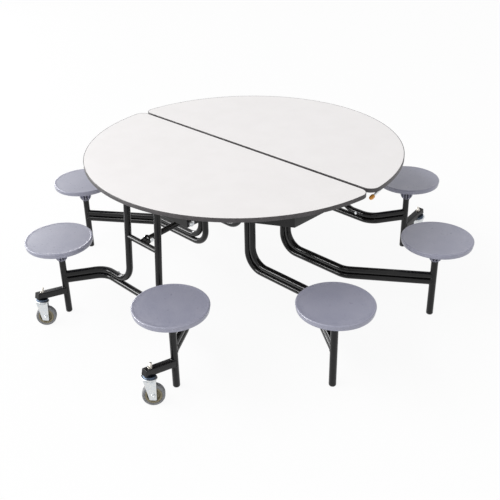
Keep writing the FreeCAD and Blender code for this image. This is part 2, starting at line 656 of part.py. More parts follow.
def loops(outward, height):
    """Four tubes of the centre frame, each a leg that turns out into a stool arm."""
    tubes = []
    for end in (-1, 1):
        for side in (-1, 1):
            route = loop_route(side, end, outward, height)
            tube = swept_tube(route, [CENTRE_BEND_RADIUS, CENTRE_CORNER_RADIUS], TUBE_RADIUS, TUBE_BORE)
            post = Vector(side * CENTRE_POST_X, end * CENTRE_POST_Y, 0)
            trimmed = tube.cut(post_envelope(post))
            tubes.append(max(trimmed.Solids, key=lambda solid: solid.Volume))
    return tubes


def outer_loops():
    """The four lower tubes, on the inner side of the legs and the outer side of the bends."""
    return loops(-LOOP_HALF_PITCH, LOWER_TUBE_HEIGHT)


def inner_loops():
    """The four upper tubes, bent like the lower ones, so the two part a little in the bend."""
    return loops(LOOP_HALF_PITCH, UPPER_TUBE_HEIGHT)


def head_plates():
    """Plates that join the legs of the centre frame and hold the hinge rods, and the latch sector."""
    plates = []
    for side in (-1, 1):
        inner = side * HEAD_PLATE_X
        outer = side * (HEAD_PLATE_X + HEAD_PLATE_THICKNESS)
        start = min(inner, outer)
        edge_y = HINGE_Y + HEAD_PLATE_CORNER
        top_bar = stadium(-HINGE_Y, HINGE_Z, HINGE_Y, HINGE_Z, HEAD_PLATE_CORNER, start,
                          start + HEAD_PLATE_THICKNESS)
        web = Part.makeBox(HEAD_PLATE_THICKNESS, 2 * edge_y, HINGE_Z - HEAD_PLATE_BOTTOM,
                           Vector(start, -edge_y, HEAD_PLATE_BOTTOM))
        bores = [Part.makeCylinder(PIVOT_ROD_RADIUS + RUNNING_CLEARANCE, 4 * HEAD_PLATE_THICKNESS,
                                   Vector(start - HEAD_PLATE_THICKNESS, end * HINGE_Y, HINGE_Z), X_AXIS)
                 for end in (-1, 1)]
        plates.append(one_solid(top_bar.fuse(web).removeSplitter().cut(bores)))
    return plates + [lock_sector()]


def lock_sector():
    """Notched quarter plate about the far hinge rod, which the lever's pawl faces from below."""
    hub = Part.makeCylinder(HEAD_PLATE_CORNER, SECTOR_THICKNESS, Vector(SECTOR_X, HINGE_Y, HINGE_Z), X_AXIS)
    disc = Part.makeCylinder(SECTOR_RADIUS, SECTOR_THICKNESS, Vector(SECTOR_X, HINGE_Y, HINGE_Z), X_AXIS)
    below = Part.makeBox(SECTOR_THICKNESS, SECTOR_RADIUS + HEAD_PLATE_CORNER, SECTOR_RADIUS,
                         Vector(SECTOR_X, HINGE_Y - SECTOR_RADIUS, HINGE_Z - SECTOR_RADIUS))
    bore = Part.makeCylinder(PIVOT_ROD_RADIUS + RUNNING_CLEARANCE, SECTOR_THICKNESS,
                             Vector(SECTOR_X, HINGE_Y, HINGE_Z), X_AXIS)
    notch = Part.makeBox(SECTOR_THICKNESS, SECTOR_NOTCH_WIDTH, SECTOR_NOTCH_DEPTH,
                         Vector(SECTOR_X, HINGE_Y, HINGE_Z - SECTOR_RADIUS))
    return one_solid(hub.fuse(disc.common(below)).removeSplitter().cut([bore, notch]))


def hinge_rods():
    """Rods on which the two halves turn, headed outside the side rails."""
    rods = []
    for end in (-1, 1):
        half = SIDE_RAIL_X + SIDE_PLAY
        centre = Vector(0, end * HINGE_Y, HINGE_Z)
        rod = cylinder(PIVOT_ROD_RADIUS, centre - X_AXIS * half, centre + X_AXIS * half)
        for side in (-1, 1):
            start = centre + X_AXIS * (side * half)
            rod = rod.fuse(cylinder(HINGE_HEAD_RADIUS, start, start + X_AXIS * (side * HINGE_HEAD_HEIGHT)))
        rods.append(one_solid(rod.removeSplitter()))
    return rods


def centre_crossbars():
    """Bars between the legs of the centre frame, with the open brackets and pins of the links."""
    reach = CENTRE_LOOP_X - LOOP_HALF_PITCH
    legs = [Part.makeCylinder(TUBE_RADIUS + WELD_GAP, CENTRE_TUBE_TOP, Vector(side * reach, -CENTRE_FRAME_Y, 0))
            for side in (-1, 1)]
    bar = ring(CROSSBAR_RADIUS, CROSSBAR_RADIUS - TUBE_WALL, Vector(-reach, -CENTRE_FRAME_Y, CENTRE_CROSSBAR_Z),
               Vector(reach, -CENTRE_FRAME_Y, CENTRE_CROSSBAR_Z))
    near = [one_solid(bar.cut(legs))]
    near += cheeks(LINK_CENTRE_Y, LINK_CENTRE_Z, CENTRE_FRAME_Y, CENTRE_CROSSBAR_Z)
    near.append(link_pin(LINK_CENTRE_Y, LINK_CENTRE_Z))
    return near + turned(near)


# ---------------------------------------------------------------- link bars
def link():
    """Link bar: a flat tube with an eye at each end, running at the leg, open at the centre."""
    leg = Vector(0, -LINK_LEG_Y, LINK_LEG_Z)
    centre = Vector(0, -LINK_CENTRE_Y, LINK_CENTRE_Z)
    length = (centre - leg).Length
    body = Part.makeBox(LINK_WIDTH, length, LINK_DEPTH, Vector(-LINK_WIDTH / 2, 0, -LINK_DEPTH / 2))
    hollow = Part.makeBox(LINK_WIDTH - 2 * LINK_WALL, length - 2 * LINK_DEPTH, LINK_DEPTH - 2 * LINK_WALL,
                          Vector(-LINK_WIDTH / 2 + LINK_WALL, LINK_DEPTH, -LINK_DEPTH / 2 + LINK_WALL))
    body = body.cut(hollow)
    body.Placement = Placement(leg, Rotation(Y_AXIS, centre - leg))
    half = X_AXIS * (LINK_WIDTH / 2)
    bores = []
    for eye, clearance in ((leg, RUNNING_CLEARANCE), (centre, OPEN_PIVOT_CLEARANCE)):
        body = body.fuse(cylinder(LINK_DEPTH / 2, eye - half, eye + half))
        bores.append(cylinder(LINK_PIN_RADIUS + clearance, eye - half, eye + half))
    return [one_solid(body.cut(bores))]


# ---------------------------------------------------------------- seats
def seat_bore_top():
    """Height of the closed end of the seat's bore."""
    return SEAT_HEIGHT - SEAT_DISH - 2 * SEAT_WALL


def seat():
    """Moulded seat: dished disc with a rolled rim, and a ribbed hub with the spindle's bore."""
    rim_bottom = SEAT_HEIGHT - SEAT_RIM_DEPTH
    under = SEAT_HEIGHT - SEAT_DISH - SEAT_WALL
    lip = SEAT_RADIUS - SEAT_LIP_RADIUS
    inside = SEAT_RADIUS - SEAT_WALL
    bore = SPINDLE_RADIUS + RUNNING_CLEARANCE
    sleeve = bore + SEAT_WALL
    arc = [(lip + SEAT_LIP_RADIUS * math.sin(math.radians(a)),
            SEAT_HEIGHT - SEAT_LIP_RADIUS + SEAT_LIP_RADIUS * math.cos(math.radians(a))) for a in range(0, 91, 15)]
    profile = [(0, SEAT_HEIGHT - SEAT_DISH), (SEAT_DISH_SHARE * SEAT_RADIUS, SEAT_HEIGHT - SEAT_DISH)] + arc
    profile += [(SEAT_RADIUS - SEAT_RIM_DRAFT, rim_bottom), (inside, rim_bottom),
                (inside, under - SEAT_INNER_CHAMFER), (inside - SEAT_INNER_CHAMFER, under),
                (sleeve, under), (sleeve, SEAT_HUB_BOTTOM), (bore, SEAT_HUB_BOTTOM),
                (bore, seat_bore_top()), (0, seat_bore_top())]
    body = revolved(profile)
    root = bore + SEAT_RIB_BITE
    rib_profile = [(root, SEAT_HUB_BOTTOM), (SEAT_HUB_BOTTOM_RADIUS, SEAT_HUB_BOTTOM),
                   (SEAT_HUB_SHOULDER_RADIUS, SEAT_HUB_BOTTOM + SEAT_HUB_SHOULDER_HEIGHT),
                   (SEAT_HUB_BELLY_RADIUS, SEAT_HUB_BOTTOM + SEAT_HUB_BELLY_HEIGHT),
                   (SEAT_HUB_TOP_RADIUS, under), (root, under)]
    points = [Vector(r, -SEAT_RIB_THICKNESS / 2, z) for r, z in rib_profile]
    rib = Part.Face(Part.makePolygon(points + [points[0]])).extrude(Vector(0, SEAT_RIB_THICKNESS, 0))
    ribs = [rib.rotated(ORIGIN, Z_AXIS, 360.0 * k / SEAT_RIB_COUNT) for k in range(SEAT_RIB_COUNT)]
    return one_solid(body.fuse(ribs).removeSplitter())


# ---------------------------------------------------------------- casters
def caster_frame():
    """Directions at a near caster: up its stem, along its trail, and along its axle."""
    up = Vector(0, math.sin(TILT), math.cos(TILT))
    inward = Vector(0, math.cos(TILT), -math.sin(TILT))
    trail = X_AXIS * math.cos(HEADING) + inward * math.sin(HEADING)
    return up, trail, up.cross(trail)


def stem_seat(post):
    """Point where a near caster's stem leaves the underside of its arm."""
    along = Vector(0, -math.cos(TILT), math.sin(TILT))
    up = caster_frame()[0]
    return post + Z_AXIS * CASTER_ARM_Z + along * (CASTER_STEM_REACH / math.cos(TILT)) - up * (CASTER_ARM_WIDTH / 2)


def wheel_drop():
    """Distance from the stem seat down to the wheel's centre that puts the tread on the floor."""
    up, trail, axle = caster_frame()
    lean = abs(axle.z)
    low = (WHEEL_RADIUS - TREAD_FILLET) * math.sqrt(1 - lean * lean)
    low += (WHEEL_WIDTH / 2 - TREAD_FILLET) * lean + TREAD_FILLET
    seat_height = stem_seat(LEG_POSTS[0]).z
    return (seat_height + trail.z * CASTER_TRAIL - low) / up.z


def in_caster_frame(shape, post):
    """Place a shape made with the stem seat at the origin, trail along X and stem along Z."""
    up, trail, axle = caster_frame()
    matrix = FreeCAD.Matrix(trail.x, axle.x, up.x, 0, trail.y, axle.y, up.y, 0, trail.z, axle.z, up.z, 0, 0, 0, 0, 1)
    placed = shape.copy()
    placed.Placement = Placement(stem_seat(post), Placement(matrix).Rotation)
    return placed


def caster_arms():
    """Box-section arms that reach outwards from the posts and rise to the casters."""
    arms = []
    along = Vector(0, -math.cos(TILT), math.sin(TILT))
    up = caster_frame()[0]
    length = CASTER_ARM_REACH / math.cos(TILT)
    for post in LEG_POSTS:
        block = Part.makeBox(CASTER_ARM_WIDTH, length, CASTER_ARM_WIDTH,
                             Vector(-CASTER_ARM_WIDTH / 2, 0, -CASTER_ARM_WIDTH / 2))
        hollow = Part.makeBox(CASTER_ARM_WIDTH - 2 * CASTER_ARM_WALL, length - CASTER_ARM_WALL,
                              CASTER_ARM_WIDTH - 2 * CASTER_ARM_WALL,
                              Vector(-CASTER_ARM_WIDTH / 2 + CASTER_ARM_WALL, 0, -CASTER_ARM_WIDTH / 2 + CASTER_ARM_WALL))
        arm = block.cut(hollow)
        matrix = FreeCAD.Matrix(-1, 0, 0, 0, 0, along.y, up.y, 0, 0, along.z, up.z, 0, 0, 0, 0, 1)
        arm.Placement = Placement(post + Z_AXIS * CASTER_ARM_Z, Placement(matrix).Rotation)
        seat_point = stem_seat(post)
        stem = cylinder(CASTER_STEM_RADIUS + SCREW_CLEARANCE, seat_point - up * CASTER_ARM_WIDTH,
                        seat_point + up * (2 * CASTER_ARM_WIDTH))
        trimmed = arm.cut([post_envelope(post), stem])
        arms.append(max(trimmed.Solids, key=lambda solid: solid.Volume))
    return arms


def crown_levels():
    """Heights, below the stem seat, of the crown's top, its plate's underside and its foot."""
    top = -RACEWAY_HEIGHT - SIDE_PLAY
    return top, top - FORK_THICKNESS, top - CROWN_HEIGHT


def caster_stems():
    """Threaded stems with their nuts above the arms and their fixed raceways below."""
    pieces = []
    rivet_top = crown_levels()[1] - SIDE_PLAY
    nut_foot = Z_AXIS * CASTER_ARM_WIDTH
    nut_top = nut_foot + Z_AXIS * CASTER_NUT_HEIGHT
    for post in LEG_POSTS:
        stem = cylinder(CASTER_STEM_RADIUS, Z_AXIS * (rivet_top - STEM_RIVET_HEIGHT),
                        nut_top + Z_AXIS * CASTER_THREAD_ABOVE_NUT)
        raceway = cylinder(RACEWAY_RADIUS, Z_AXIS * -RACEWAY_HEIGHT, ORIGIN)
        rivet = cylinder(STEM_RIVET_RADIUS, Z_AXIS * (rivet_top - STEM_RIVET_HEIGHT), Z_AXIS * rivet_top)
        nut = hexagon(CASTER_NUT_FLATS, nut_foot, nut_top)
        bore = cylinder(CASTER_STEM_RADIUS + SCREW_CLEARANCE, nut_foot, nut_top)
        pieces.append(in_caster_frame(one_solid(stem.fuse([raceway, rivet]).removeSplitter()), post))
        pieces.append(in_caster_frame(one_solid(nut.cut(bore)), post))
    return pieces


def fork_cheek(start_y, foot):
    """A cheek of the fork: a plate that narrows from the crown to a foot with rounded corners."""
    top = crown_levels()[1]
    low = foot.z - FORK_FOOT_BELOW_AXLE
    corners = [Vector(-FORK_TOP_HALF_WIDTH, start_y, top), Vector(FORK_TOP_HALF_WIDTH, start_y, top),
               Vector(foot.x + FORK_FOOT_HALF_WIDTH, start_y, low), Vector(foot.x - FORK_FOOT_HALF_WIDTH, start_y, low)]
    plate = Part.Face(Part.makePolygon(corners + [corners[0]])).extrude(Y_AXIS * FORK_THICKNESS)
    feet = [edge for edge in plate.Edges
            if all(abs(vertex.Z - low) < 0.01 for vertex in edge.Vertexes) and edge.BoundBox.XLength < 0.01]
    return plate.makeFillet(FORK_FOOT_CORNER, feet)


def caster_fork(post):
    """Swivelling fork: a cupped crown, two tapering cheeks, and the axle bolt with its nuts."""
    top, plate_bottom, crown_bottom = crown_levels()
    inner = WHEEL_WIDTH / 2 + FORK_SIDE_GAP
    outer = inner + FORK_THICKNESS
    bore = CASTER_STEM_RADIUS + RUNNING_CLEARANCE
    crown = revolved([(bore, top), (CROWN_RADIUS - CROWN_SHOULDER, top), (CROWN_RADIUS, top - CROWN_SHOULDER),
                      (CROWN_FOOT_RADIUS, crown_bottom), (CROWN_FOOT_RADIUS - FORK_THICKNESS, crown_bottom),
                      (CROWN_RADIUS - 2 * FORK_THICKNESS, plate_bottom), (bore, plate_bottom)])
    foot = Vector(CASTER_TRAIL, 0, -wheel_drop())
    plates = [fork_cheek(start_y, foot) for start_y in (inner, -outer)]
    yoke = one_solid(crown.fuse(plates).removeSplitter())
    bolt_half = outer + AXLE_NUT_HEIGHT
    hole = cylinder(AXLE_RADIUS + RUNNING_CLEARANCE, foot - Y_AXIS * bolt_half, foot + Y_AXIS * bolt_half)
    axle = cylinder(AXLE_RADIUS, foot - Y_AXIS * outer, foot + Y_AXIS * outer)
    nuts = [hexagon(AXLE_NUT_FLATS, foot + Y_AXIS * (side * outer), foot + Y_AXIS * (side * bolt_half))
            for side in (-1, 1)]
    bolt = one_solid(axle.fuse(nuts).removeSplitter())
    return [in_caster_frame(one_solid(yoke.cut(hole)), post), in_caster_frame(bolt, post)]


def wheel_revolved(profile, post):
    """Turn a (radius, sideways) outline about the axle of a near caster's wheel."""
    drop = wheel_drop()
    points = [Vector(CASTER_TRAIL + r, y, -drop) for r, y in profile]
    face = Part.Face(Part.makePolygon(points + [points[0]]))
    solid = face.revolve(Vector(CASTER_TRAIL, 0, -drop), Y_AXIS, 360)
    return in_caster_frame(solid, post)


def caster_tread(post):
    """Tread of a wheel, with rounded shoulders."""
    half = WHEEL_WIDTH / 2
    flat = half - TREAD_FILLET
    shoulder = [(WHEEL_RADIUS - TREAD_FILLET + TREAD_FILLET * math.cos(math.radians(a)),
                 flat + TREAD_FILLET * math.sin(math.radians(a))) for a in range(0, 91, 18)]
    profile = [(TREAD_INNER_RADIUS, half)] + list(reversed(shoulder))
    profile += [(r, -y) for r, y in shoulder] + [(TREAD_INNER_RADIUS, -half)]
    return [wheel_revolved(profile, post)]


def caster_core(post):
    """Core of a wheel: a rim and a hub joined by a thinner web."""
    half = WHEEL_WIDTH / 2
    rim_inner = TREAD_INNER_RADIUS - WHEEL_RIM_THICKNESS
    web = WHEEL_WEB / 2
    bore = AXLE_RADIUS + RUNNING_CLEARANCE
    right = [(TREAD_INNER_RADIUS, half), (rim_inner, half), (rim_inner - WHEEL_DRAFT, web),
             (WHEEL_HUB_RADIUS + WHEEL_DRAFT, web), (WHEEL_HUB_RADIUS, half), (bore, half)]
    profile = right + [(r, -y) for r, y in reversed(right)]
    return [wheel_revolved(profile, post)]


# ---------------------------------------------------------------- release lever
def lever_direction():
    """Direction from the crank's corner to the tip of the lever."""
    return (Vector(LEVER_TIP_X, LEVER_TIP_Y, LEVER_TIP_Z) - Vector(LEVER_CRANK_X, LEVER_Y, LEVER_Z)).normalize()


def release_lever():
    """Lever shaft with its bent handle end and, at its inner end, the latch pawl."""
    start_x = SECTOR_X + SIDE_PLAY
    tip = Vector(LEVER_TIP_X, LEVER_TIP_Y, LEVER_TIP_Z)
    end = tip - lever_direction() * (LEVER_GRIP_END + SIDE_PLAY)
    rod = swept_rod([Vector(start_x, LEVER_Y, LEVER_Z), Vector(LEVER_CRANK_X, LEVER_Y, LEVER_Z), end],
                    [LEVER_BEND_RADIUS], LEVER_ROD_RADIUS)
    pawl_end = start_x + SECTOR_THICKNESS - SIDE_PLAY
    arm = stadium(LEVER_Y, LEVER_Z, PAWL_TIP_Y, PAWL_TIP_Z, PAWL_HALF_WIDTH, start_x, pawl_end)
    boss = Part.makeCylinder(2 * LEVER_ROD_RADIUS, pawl_end - start_x, Vector(start_x, LEVER_Y, LEVER_Z), X_AXIS)
    return [one_solid(rod.fuse([arm, boss]).removeSplitter())]


def lever_grip():
    """Sleeve of soft plastic on the end of the lever, with a domed tip."""
    direction = lever_direction()
    tip = Vector(LEVER_TIP_X, LEVER_TIP_Y, LEVER_TIP_Z)
    bore = LEVER_ROD_RADIUS + RUNNING_CLEARANCE
    dome = [(LEVER_GRIP_RADIUS * math.sin(math.radians(a)), LEVER_GRIP_END * (1 - math.cos(math.radians(a))))
            for a in range(0, 91, 18)]
    profile = dome + [(LEVER_GRIP_RADIUS, LEVER_GRIP_LENGTH), (bore, LEVER_GRIP_LENGTH), (bore, LEVER_GRIP_END),
                      (0, LEVER_GRIP_END)]
    grip = revolved(profile)
    grip.Placement = Placement(tip, Rotation(Z_AXIS, direction * -1))
    return [grip]


# ---------------------------------------------------------------- build everything
def export_pair(name, solids):
    """Write a near node and the same node turned to the far side."""
    export("near_" + name, solids)
    export("far_" + name, turned(solids))


export_pair("top_panel", top_panel())
export_pair("edge_band", edge_band())
export("near_chassis", chassis(False))
export("far_chassis", turned(chassis(True)))
export("near_wing_rails", wing_rails(False))
export("far_wing_rails", turned(wing_rails(True)))
export_pair("chassis_hardware", chassis_hardware())
export_pair("leg_tubes", leg_tubes())
export_pair("lower_tube", lower_tube())
export_pair("posts", posts(LEG_POSTS))
export_pair("crossbar", leg_crossbar())
export_pair("frame_bolts", frame_bolts())
export_pair("caster_arms", caster_arms())
export_pair("caster_stems", caster_stems())
export_pair("glides", glides(LEG_POSTS))
export_pair("seat_spindles", seat_spindles(LEG_POSTS))
export_pair("link", link())

export("centre_outer_loops", outer_loops())
export("centre_inner_loops", inner_loops())
export("centre_posts", posts(CENTRE_POSTS))
export("centre_head_plates", head_plates())
export("centre_hinge_rods", hinge_rods())
export("centre_crossbars", centre_crossbars())
export("centre_glides", glides(CENTRE_POSTS))
export("centre_seat_spindles", seat_spindles(CENTRE_POSTS))

stool = seat()
for hand, place in zip(("left", "right"), LEG_POSTS):
    export("seat_near_" + hand, [stool.translated(place)])
    other = "right" if hand == "left" else "left"
    export("seat_far_" + other, turned([stool.translated(place)]))
for name, place in zip(("left_near", "right_near", "left_far", "right_far"), CENTRE_POSTS):
    export("seat_" + name, [stool.translated(place)])

for hand, other, post in zip(("left", "right"), ("right", "left"), LEG_POSTS):
    for piece, make in (("fork", caster_fork), ("tread", caster_tread), ("core", caster_core)):
        solids = make(post)
        export("caster_" + piece + "_near_" + hand, solids)
        export("caster_" + piece + "_far_" + other, turned(solids))

export("release_lever", release_lever())
export("lever_grip", lever_grip())
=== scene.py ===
# %% [markdown]
# # A folding table with eight swivel stools
# The table stands on three frames of bent tube. The two halves of its round top fold upwards in
# the middle. Everything that has to fit or move is already packed as a fixed frame, so this
# lesson only gives each piece its finish, and makes again, as smooth surfaces, the pieces that
# show most: tubes, stools, edge bands, rails and casters.

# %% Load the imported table
import json
import math

import bpy
import numpy as np
from mathutils import Matrix, Vector


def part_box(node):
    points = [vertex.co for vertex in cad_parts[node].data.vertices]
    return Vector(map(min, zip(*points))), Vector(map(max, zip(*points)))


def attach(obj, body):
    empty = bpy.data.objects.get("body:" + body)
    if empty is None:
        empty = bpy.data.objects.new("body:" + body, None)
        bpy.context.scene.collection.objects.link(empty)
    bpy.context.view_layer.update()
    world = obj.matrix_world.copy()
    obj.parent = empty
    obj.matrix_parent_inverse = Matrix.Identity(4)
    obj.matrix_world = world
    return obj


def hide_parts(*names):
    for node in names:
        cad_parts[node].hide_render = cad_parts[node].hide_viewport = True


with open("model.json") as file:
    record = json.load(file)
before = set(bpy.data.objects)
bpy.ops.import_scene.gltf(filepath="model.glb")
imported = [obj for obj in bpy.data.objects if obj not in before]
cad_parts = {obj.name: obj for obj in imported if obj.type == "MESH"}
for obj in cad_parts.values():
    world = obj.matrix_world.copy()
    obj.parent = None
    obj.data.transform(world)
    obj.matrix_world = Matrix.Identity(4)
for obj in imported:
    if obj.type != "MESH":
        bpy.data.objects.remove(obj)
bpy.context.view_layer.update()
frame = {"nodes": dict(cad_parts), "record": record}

# %% [markdown]
# ## Camera
# The table is seen from a little above eye level, not quite four metres away, through a mild
# telephoto lens. The camera below is placed by its distance and direction from the top's middle,
# then aimed by a heading, a pitch and a small roll. The lens shift slides the frame without
# turning the camera.

# %% Camera
TOP_HEIGHT = 0.737
CAMERA_DISTANCE = 3.691
CAMERA_AZIMUTH = math.radians(45.3276)
CAMERA_ELEVATION = math.radians(21.9308)
AIM_HEADING = math.radians(48.1518)
AIM_PITCH = math.radians(-26.6573)
AIM_ROLL = math.radians(-2.5764)
SENSOR_WIDTH = 36.0
LENS_LENGTH = 54.83
LENS_SHIFT = 0.08


def make_camera():
    """Camera at a distance and direction from the top, aimed by heading, pitch and roll."""
    flat = CAMERA_DISTANCE * math.cos(CAMERA_ELEVATION)
    place = Vector((flat * math.sin(CAMERA_AZIMUTH), -flat * math.cos(CAMERA_AZIMUTH),
                    TOP_HEIGHT + CAMERA_DISTANCE * math.sin(CAMERA_ELEVATION)))
    forward = Vector((-math.sin(AIM_HEADING) * math.cos(AIM_PITCH),
                      math.cos(AIM_HEADING) * math.cos(AIM_PITCH), math.sin(AIM_PITCH)))
    level_right = forward.cross(Vector((0, 0, 1))).normalized()
    level_up = level_right.cross(forward)
    right = level_right * math.cos(AIM_ROLL) + level_up * math.sin(AIM_ROLL)
    up = right.cross(forward)
    lens = bpy.data.cameras.new("camera")
    lens.sensor_width = SENSOR_WIDTH
    lens.lens = LENS_LENGTH
    lens.shift_x = LENS_SHIFT
    lens.shift_y = -LENS_SHIFT
    camera = bpy.data.objects.new("camera", lens)
    axes = Matrix((right, up, -forward)).transposed().to_4x4()
    camera.matrix_world = Matrix.Translation(place) @ axes
    bpy.context.scene.collection.objects.link(camera)
    bpy.context.scene.camera = camera
    return camera


camera = make_camera()
print("camera at", [round(v, 3) for v in camera.location])

# %% [markdown]
# ## Surfaces from formulas
# Every new piece is a grid of points: one direction runs along the piece, the other runs round
# it. Two ideas cover nearly everything here. A *sweep* carries a closed profile along a route, as
# a tube bender does. A *lathe* turns a profile about an axis, as a potter does. A plate is a
# short sweep of its own outline, with its edges drawn in a little so that they catch the light.

# %% Surface builder
SMOOTH_ANGLE = 35.0


class Surface:
    """Points and faces of one piece, gathered from closed shells."""

    def __init__(self):
        self.points = []
        self.faces = []
        self.count = 0

    def add(self, points, faces):
        """Add a closed shell. The sum of a.(b x c) over its triangles is six times its volume. It
        comes out below zero where the faces point inwards, and then they are reversed."""
        volume = 0.0
        middle = points.mean(axis=0)
        for block in faces:
            corners = points[block] - middle
            first = corners[:, :1]
            fans = np.cross(corners[:, 1:-1], corners[:, 2:])
            volume += float((first * fans).sum())
        for block in faces:
            turned = block[:, ::-1] if volume < 0 else block
            self.faces.append(turned + self.count)
        self.points.append(points)
        self.count += len(points)

    def grid(self, rows, ends="caps"):
        """Add a shell from rows of points (rows, columns, 3). Columns close on themselves. The
        first and last rows are closed by flat caps, or the rows join each other in a loop."""
        count, width = rows.shape[:2]
        steps = count if ends == "loop" else count - 1
        row, column = np.meshgrid(np.arange(steps), np.arange(width), indexing="ij")
        row_next = (row + 1) % count
        column_next = (column + 1) % width
        quads = np.stack([row * width + column, row * width + column_next,
                          row_next * width + column_next, row_next * width + column], axis=-1)
        faces = [quads.reshape(-1, 4)]
        if ends == "caps":
            cap = np.arange(width)[None, :]
            faces += [cap[:, ::-1], cap + (count - 1) * width]
        self.add(rows.reshape(-1, 3), faces)

    def mesh(self, name):
        """The gathered shells as one mesh."""
        mesh = bpy.data.meshes.new(name)
        faces = [face for block in self.faces for face in block.tolist()]
        mesh.from_pydata(np.concatenate(self.points).tolist(), [], faces)
        return mesh

    def place(self, name, body, slot, replaces=(), finish=None, crease=SMOOTH_ANGLE):
        """Make the mesh object, shade it smooth but for its creases, give it the finish of its
        slot, or a given one, and put it on its body."""
        mesh = self.mesh(name)
        mesh.polygons.foreach_set("use_smooth", np.ones(len(mesh.polygons), bool))
        mesh.set_sharp_from_angle(angle=math.radians(crease))
        mesh.materials.append(finish or FINISHES[slot])
        piece = bpy.data.objects.new(name, mesh)
        bpy.context.scene.collection.objects.link(piece)
        if replaces:
            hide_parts(*replaces)
        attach(piece, body)
        return piece


def half_turn(points):
    """The same points on the far side of the table: half a turn about Z."""
    return points * np.array([-1.0, -1.0, 1.0])


def unit(vectors):
    """Vectors divided by their lengths."""
    return vectors / np.linalg.norm(vectors, axis=-1, keepdims=True)


# %% Routes and sweeps
ARC_STEP = math.radians(5)
CORNER_STEP = math.radians(18)


def rounded_route(corners, radii, step=ARC_STEP):
    """Centre line through the corners. At each inner corner an arc of the given radius starts and
    ends at a distance of radius times tan(turn / 2) from it."""
    corners = np.array(corners, float)
    line = [corners[:1]]
    for before, corner, after, radius in zip(corners, corners[1:], corners[2:], radii):
        arrive, leave = unit(corner - before), unit(after - corner)
        turn = math.acos(float(np.clip(arrive @ leave, -1, 1)))
        start = corner - arrive * radius * math.tan(turn / 2)
        inward = unit(leave - arrive * (arrive @ leave))
        centre = start + inward * radius
        angle = np.linspace(0, turn, max(3, math.ceil(turn / step)) + 1)[:, None]
        line.append(centre - inward * radius * np.cos(angle) + arrive * radius * np.sin(angle))
    line.append(corners[-1:])
    return np.concatenate(line)


def carry(route, profile, start_side, loop=False):
    """Carry a closed profile of (across, over) points along a route. Across starts along
    start_side, and turns with the route as little as the route lets it."""
    if loop:
        ahead = unit(np.roll(route, -1, axis=0) - np.roll(route, 1, axis=0))
    else:
        ahead = unit(np.gradient(route, axis=0))
        ahead[0], ahead[-1] = unit(route[1] - route[0]), unit(route[-1] - route[-2])
    side = np.empty_like(route)
    current = np.array(start_side, float)
    for index, direction in enumerate(ahead):
        current = unit(current - direction * (current @ direction))
        side[index] = current
    over = np.cross(ahead, side)
    profile = np.array(profile, float)
    return route[:, None] + side[:, None] * profile[None, :, :1] + over[:, None] * profile[None, :, 1:]


def circle(radius, count=40):
    """Points of a circle: radius times (cos t, sin t)."""
    t = np.linspace(0, 2 * np.pi, count, endpoint=False)
    return np.stack([radius * np.cos(t), radius * np.sin(t)], axis=1)


def rounded_outline(corners, radii):
    """Closed outline with a small arc at each corner: a rounded route that comes back to where it
    starts, in the middle of its last side."""
    corners = np.array(corners, float)
    middle = (corners[-1] + corners[0]) / 2
    return rounded_route([middle, *corners, middle], radii, CORNER_STEP)[:-1]


def rounded_box(width, depth, radius):
    """Outline of a rectangle with round corners."""
    x, y = width / 2, depth / 2
    return rounded_outline([(x, -y), (x, y), (-x, y), (-x, -y)], [radius] * 4)


# %% Lathes and plates
def lathe(profile, count=64):
    """Turn a profile of (radius, height) points about Z: each point becomes a circle. A profile
    that starts and ends on the axis closes the shell."""
    profile = np.array(profile, float)
    t = np.linspace(0, 2 * np.pi, count, endpoint=False)
    ring = np.stack([np.cos(t), np.sin(t), np.zeros_like(t)], axis=1)
    rise = np.array([0.0, 0.0, 1.0])
    return profile[:, None, :1] * ring[None] + profile[:, None, 1:] * rise


def corner_arc(centre, radius, start, end, count=6):
    """Points of an arc in a profile, angles in degrees."""
    t = np.radians(np.linspace(start, end, count))
    return np.stack([centre[0] + radius * np.cos(t), centre[1] + radius * np.sin(t)], axis=1)


def outward(outline):
    """Outward normals of a closed outline that runs anticlockwise: each chord turned right."""
    chord = unit(np.roll(outline, -1, axis=0) - np.roll(outline, 1, axis=0))
    return np.stack([chord[:, 1], -chord[:, 0]], axis=1)


def plate(outline, bottom, top, bevel):
    """A flat plate: its outline at four heights, drawn in by the bevel at the two faces."""
    outline = np.array(outline, float)
    inner = outline - outward(outline) * bevel
    levels = ((inner, bottom), (outline, bottom + bevel), (outline, top - bevel), (inner, top))
    return np.array([np.column_stack([shape, np.full(len(shape), height)]) for shape, height in levels])


# %% Nuts and threads
NUT_POINTS_PER_SIDE = 6
NUT_CHAMFER = math.tan(math.radians(30))
# Radius of the cone's circle, as a share of the width across the flats.
NUT_CIRCLE = 0.47
THREAD_PITCH = 0.00175
THREAD_DEPTH = 0.0005
THREAD_RINGS = 7
THREAD_POINTS = 28
THREAD_TIP = 0.8


def divided(outline, count):
    """Closed outline with each of its sides cut into count steps."""
    share = np.linspace(0, 1, count, endpoint=False)[None, :, None]
    after = np.roll(outline, -1, axis=0)
    return (outline[:, None] * (1 - share) + after[:, None] * share).reshape(-1, 2)


def nut(flats, bottom, top):
    """Hexagonal nut. A cone of 30 degrees cuts its tips, so a point at radius r beyond the cone's
    circle drops by (r - circle) tan 30."""
    outline = divided(circle(flats / math.sqrt(3), 6), NUT_POINTS_PER_SIDE)
    radius = np.linalg.norm(outline, axis=1)
    cone = NUT_CIRCLE * flats
    inner = outline * (cone / radius)[:, None]
    drop = (radius - cone) * NUT_CHAMFER
    flat = np.zeros(len(outline))
    levels = ((inner, bottom + flat), (outline, bottom + drop), (outline, top - drop), (inner, top + flat))
    return np.array([np.column_stack(level) for level in levels])


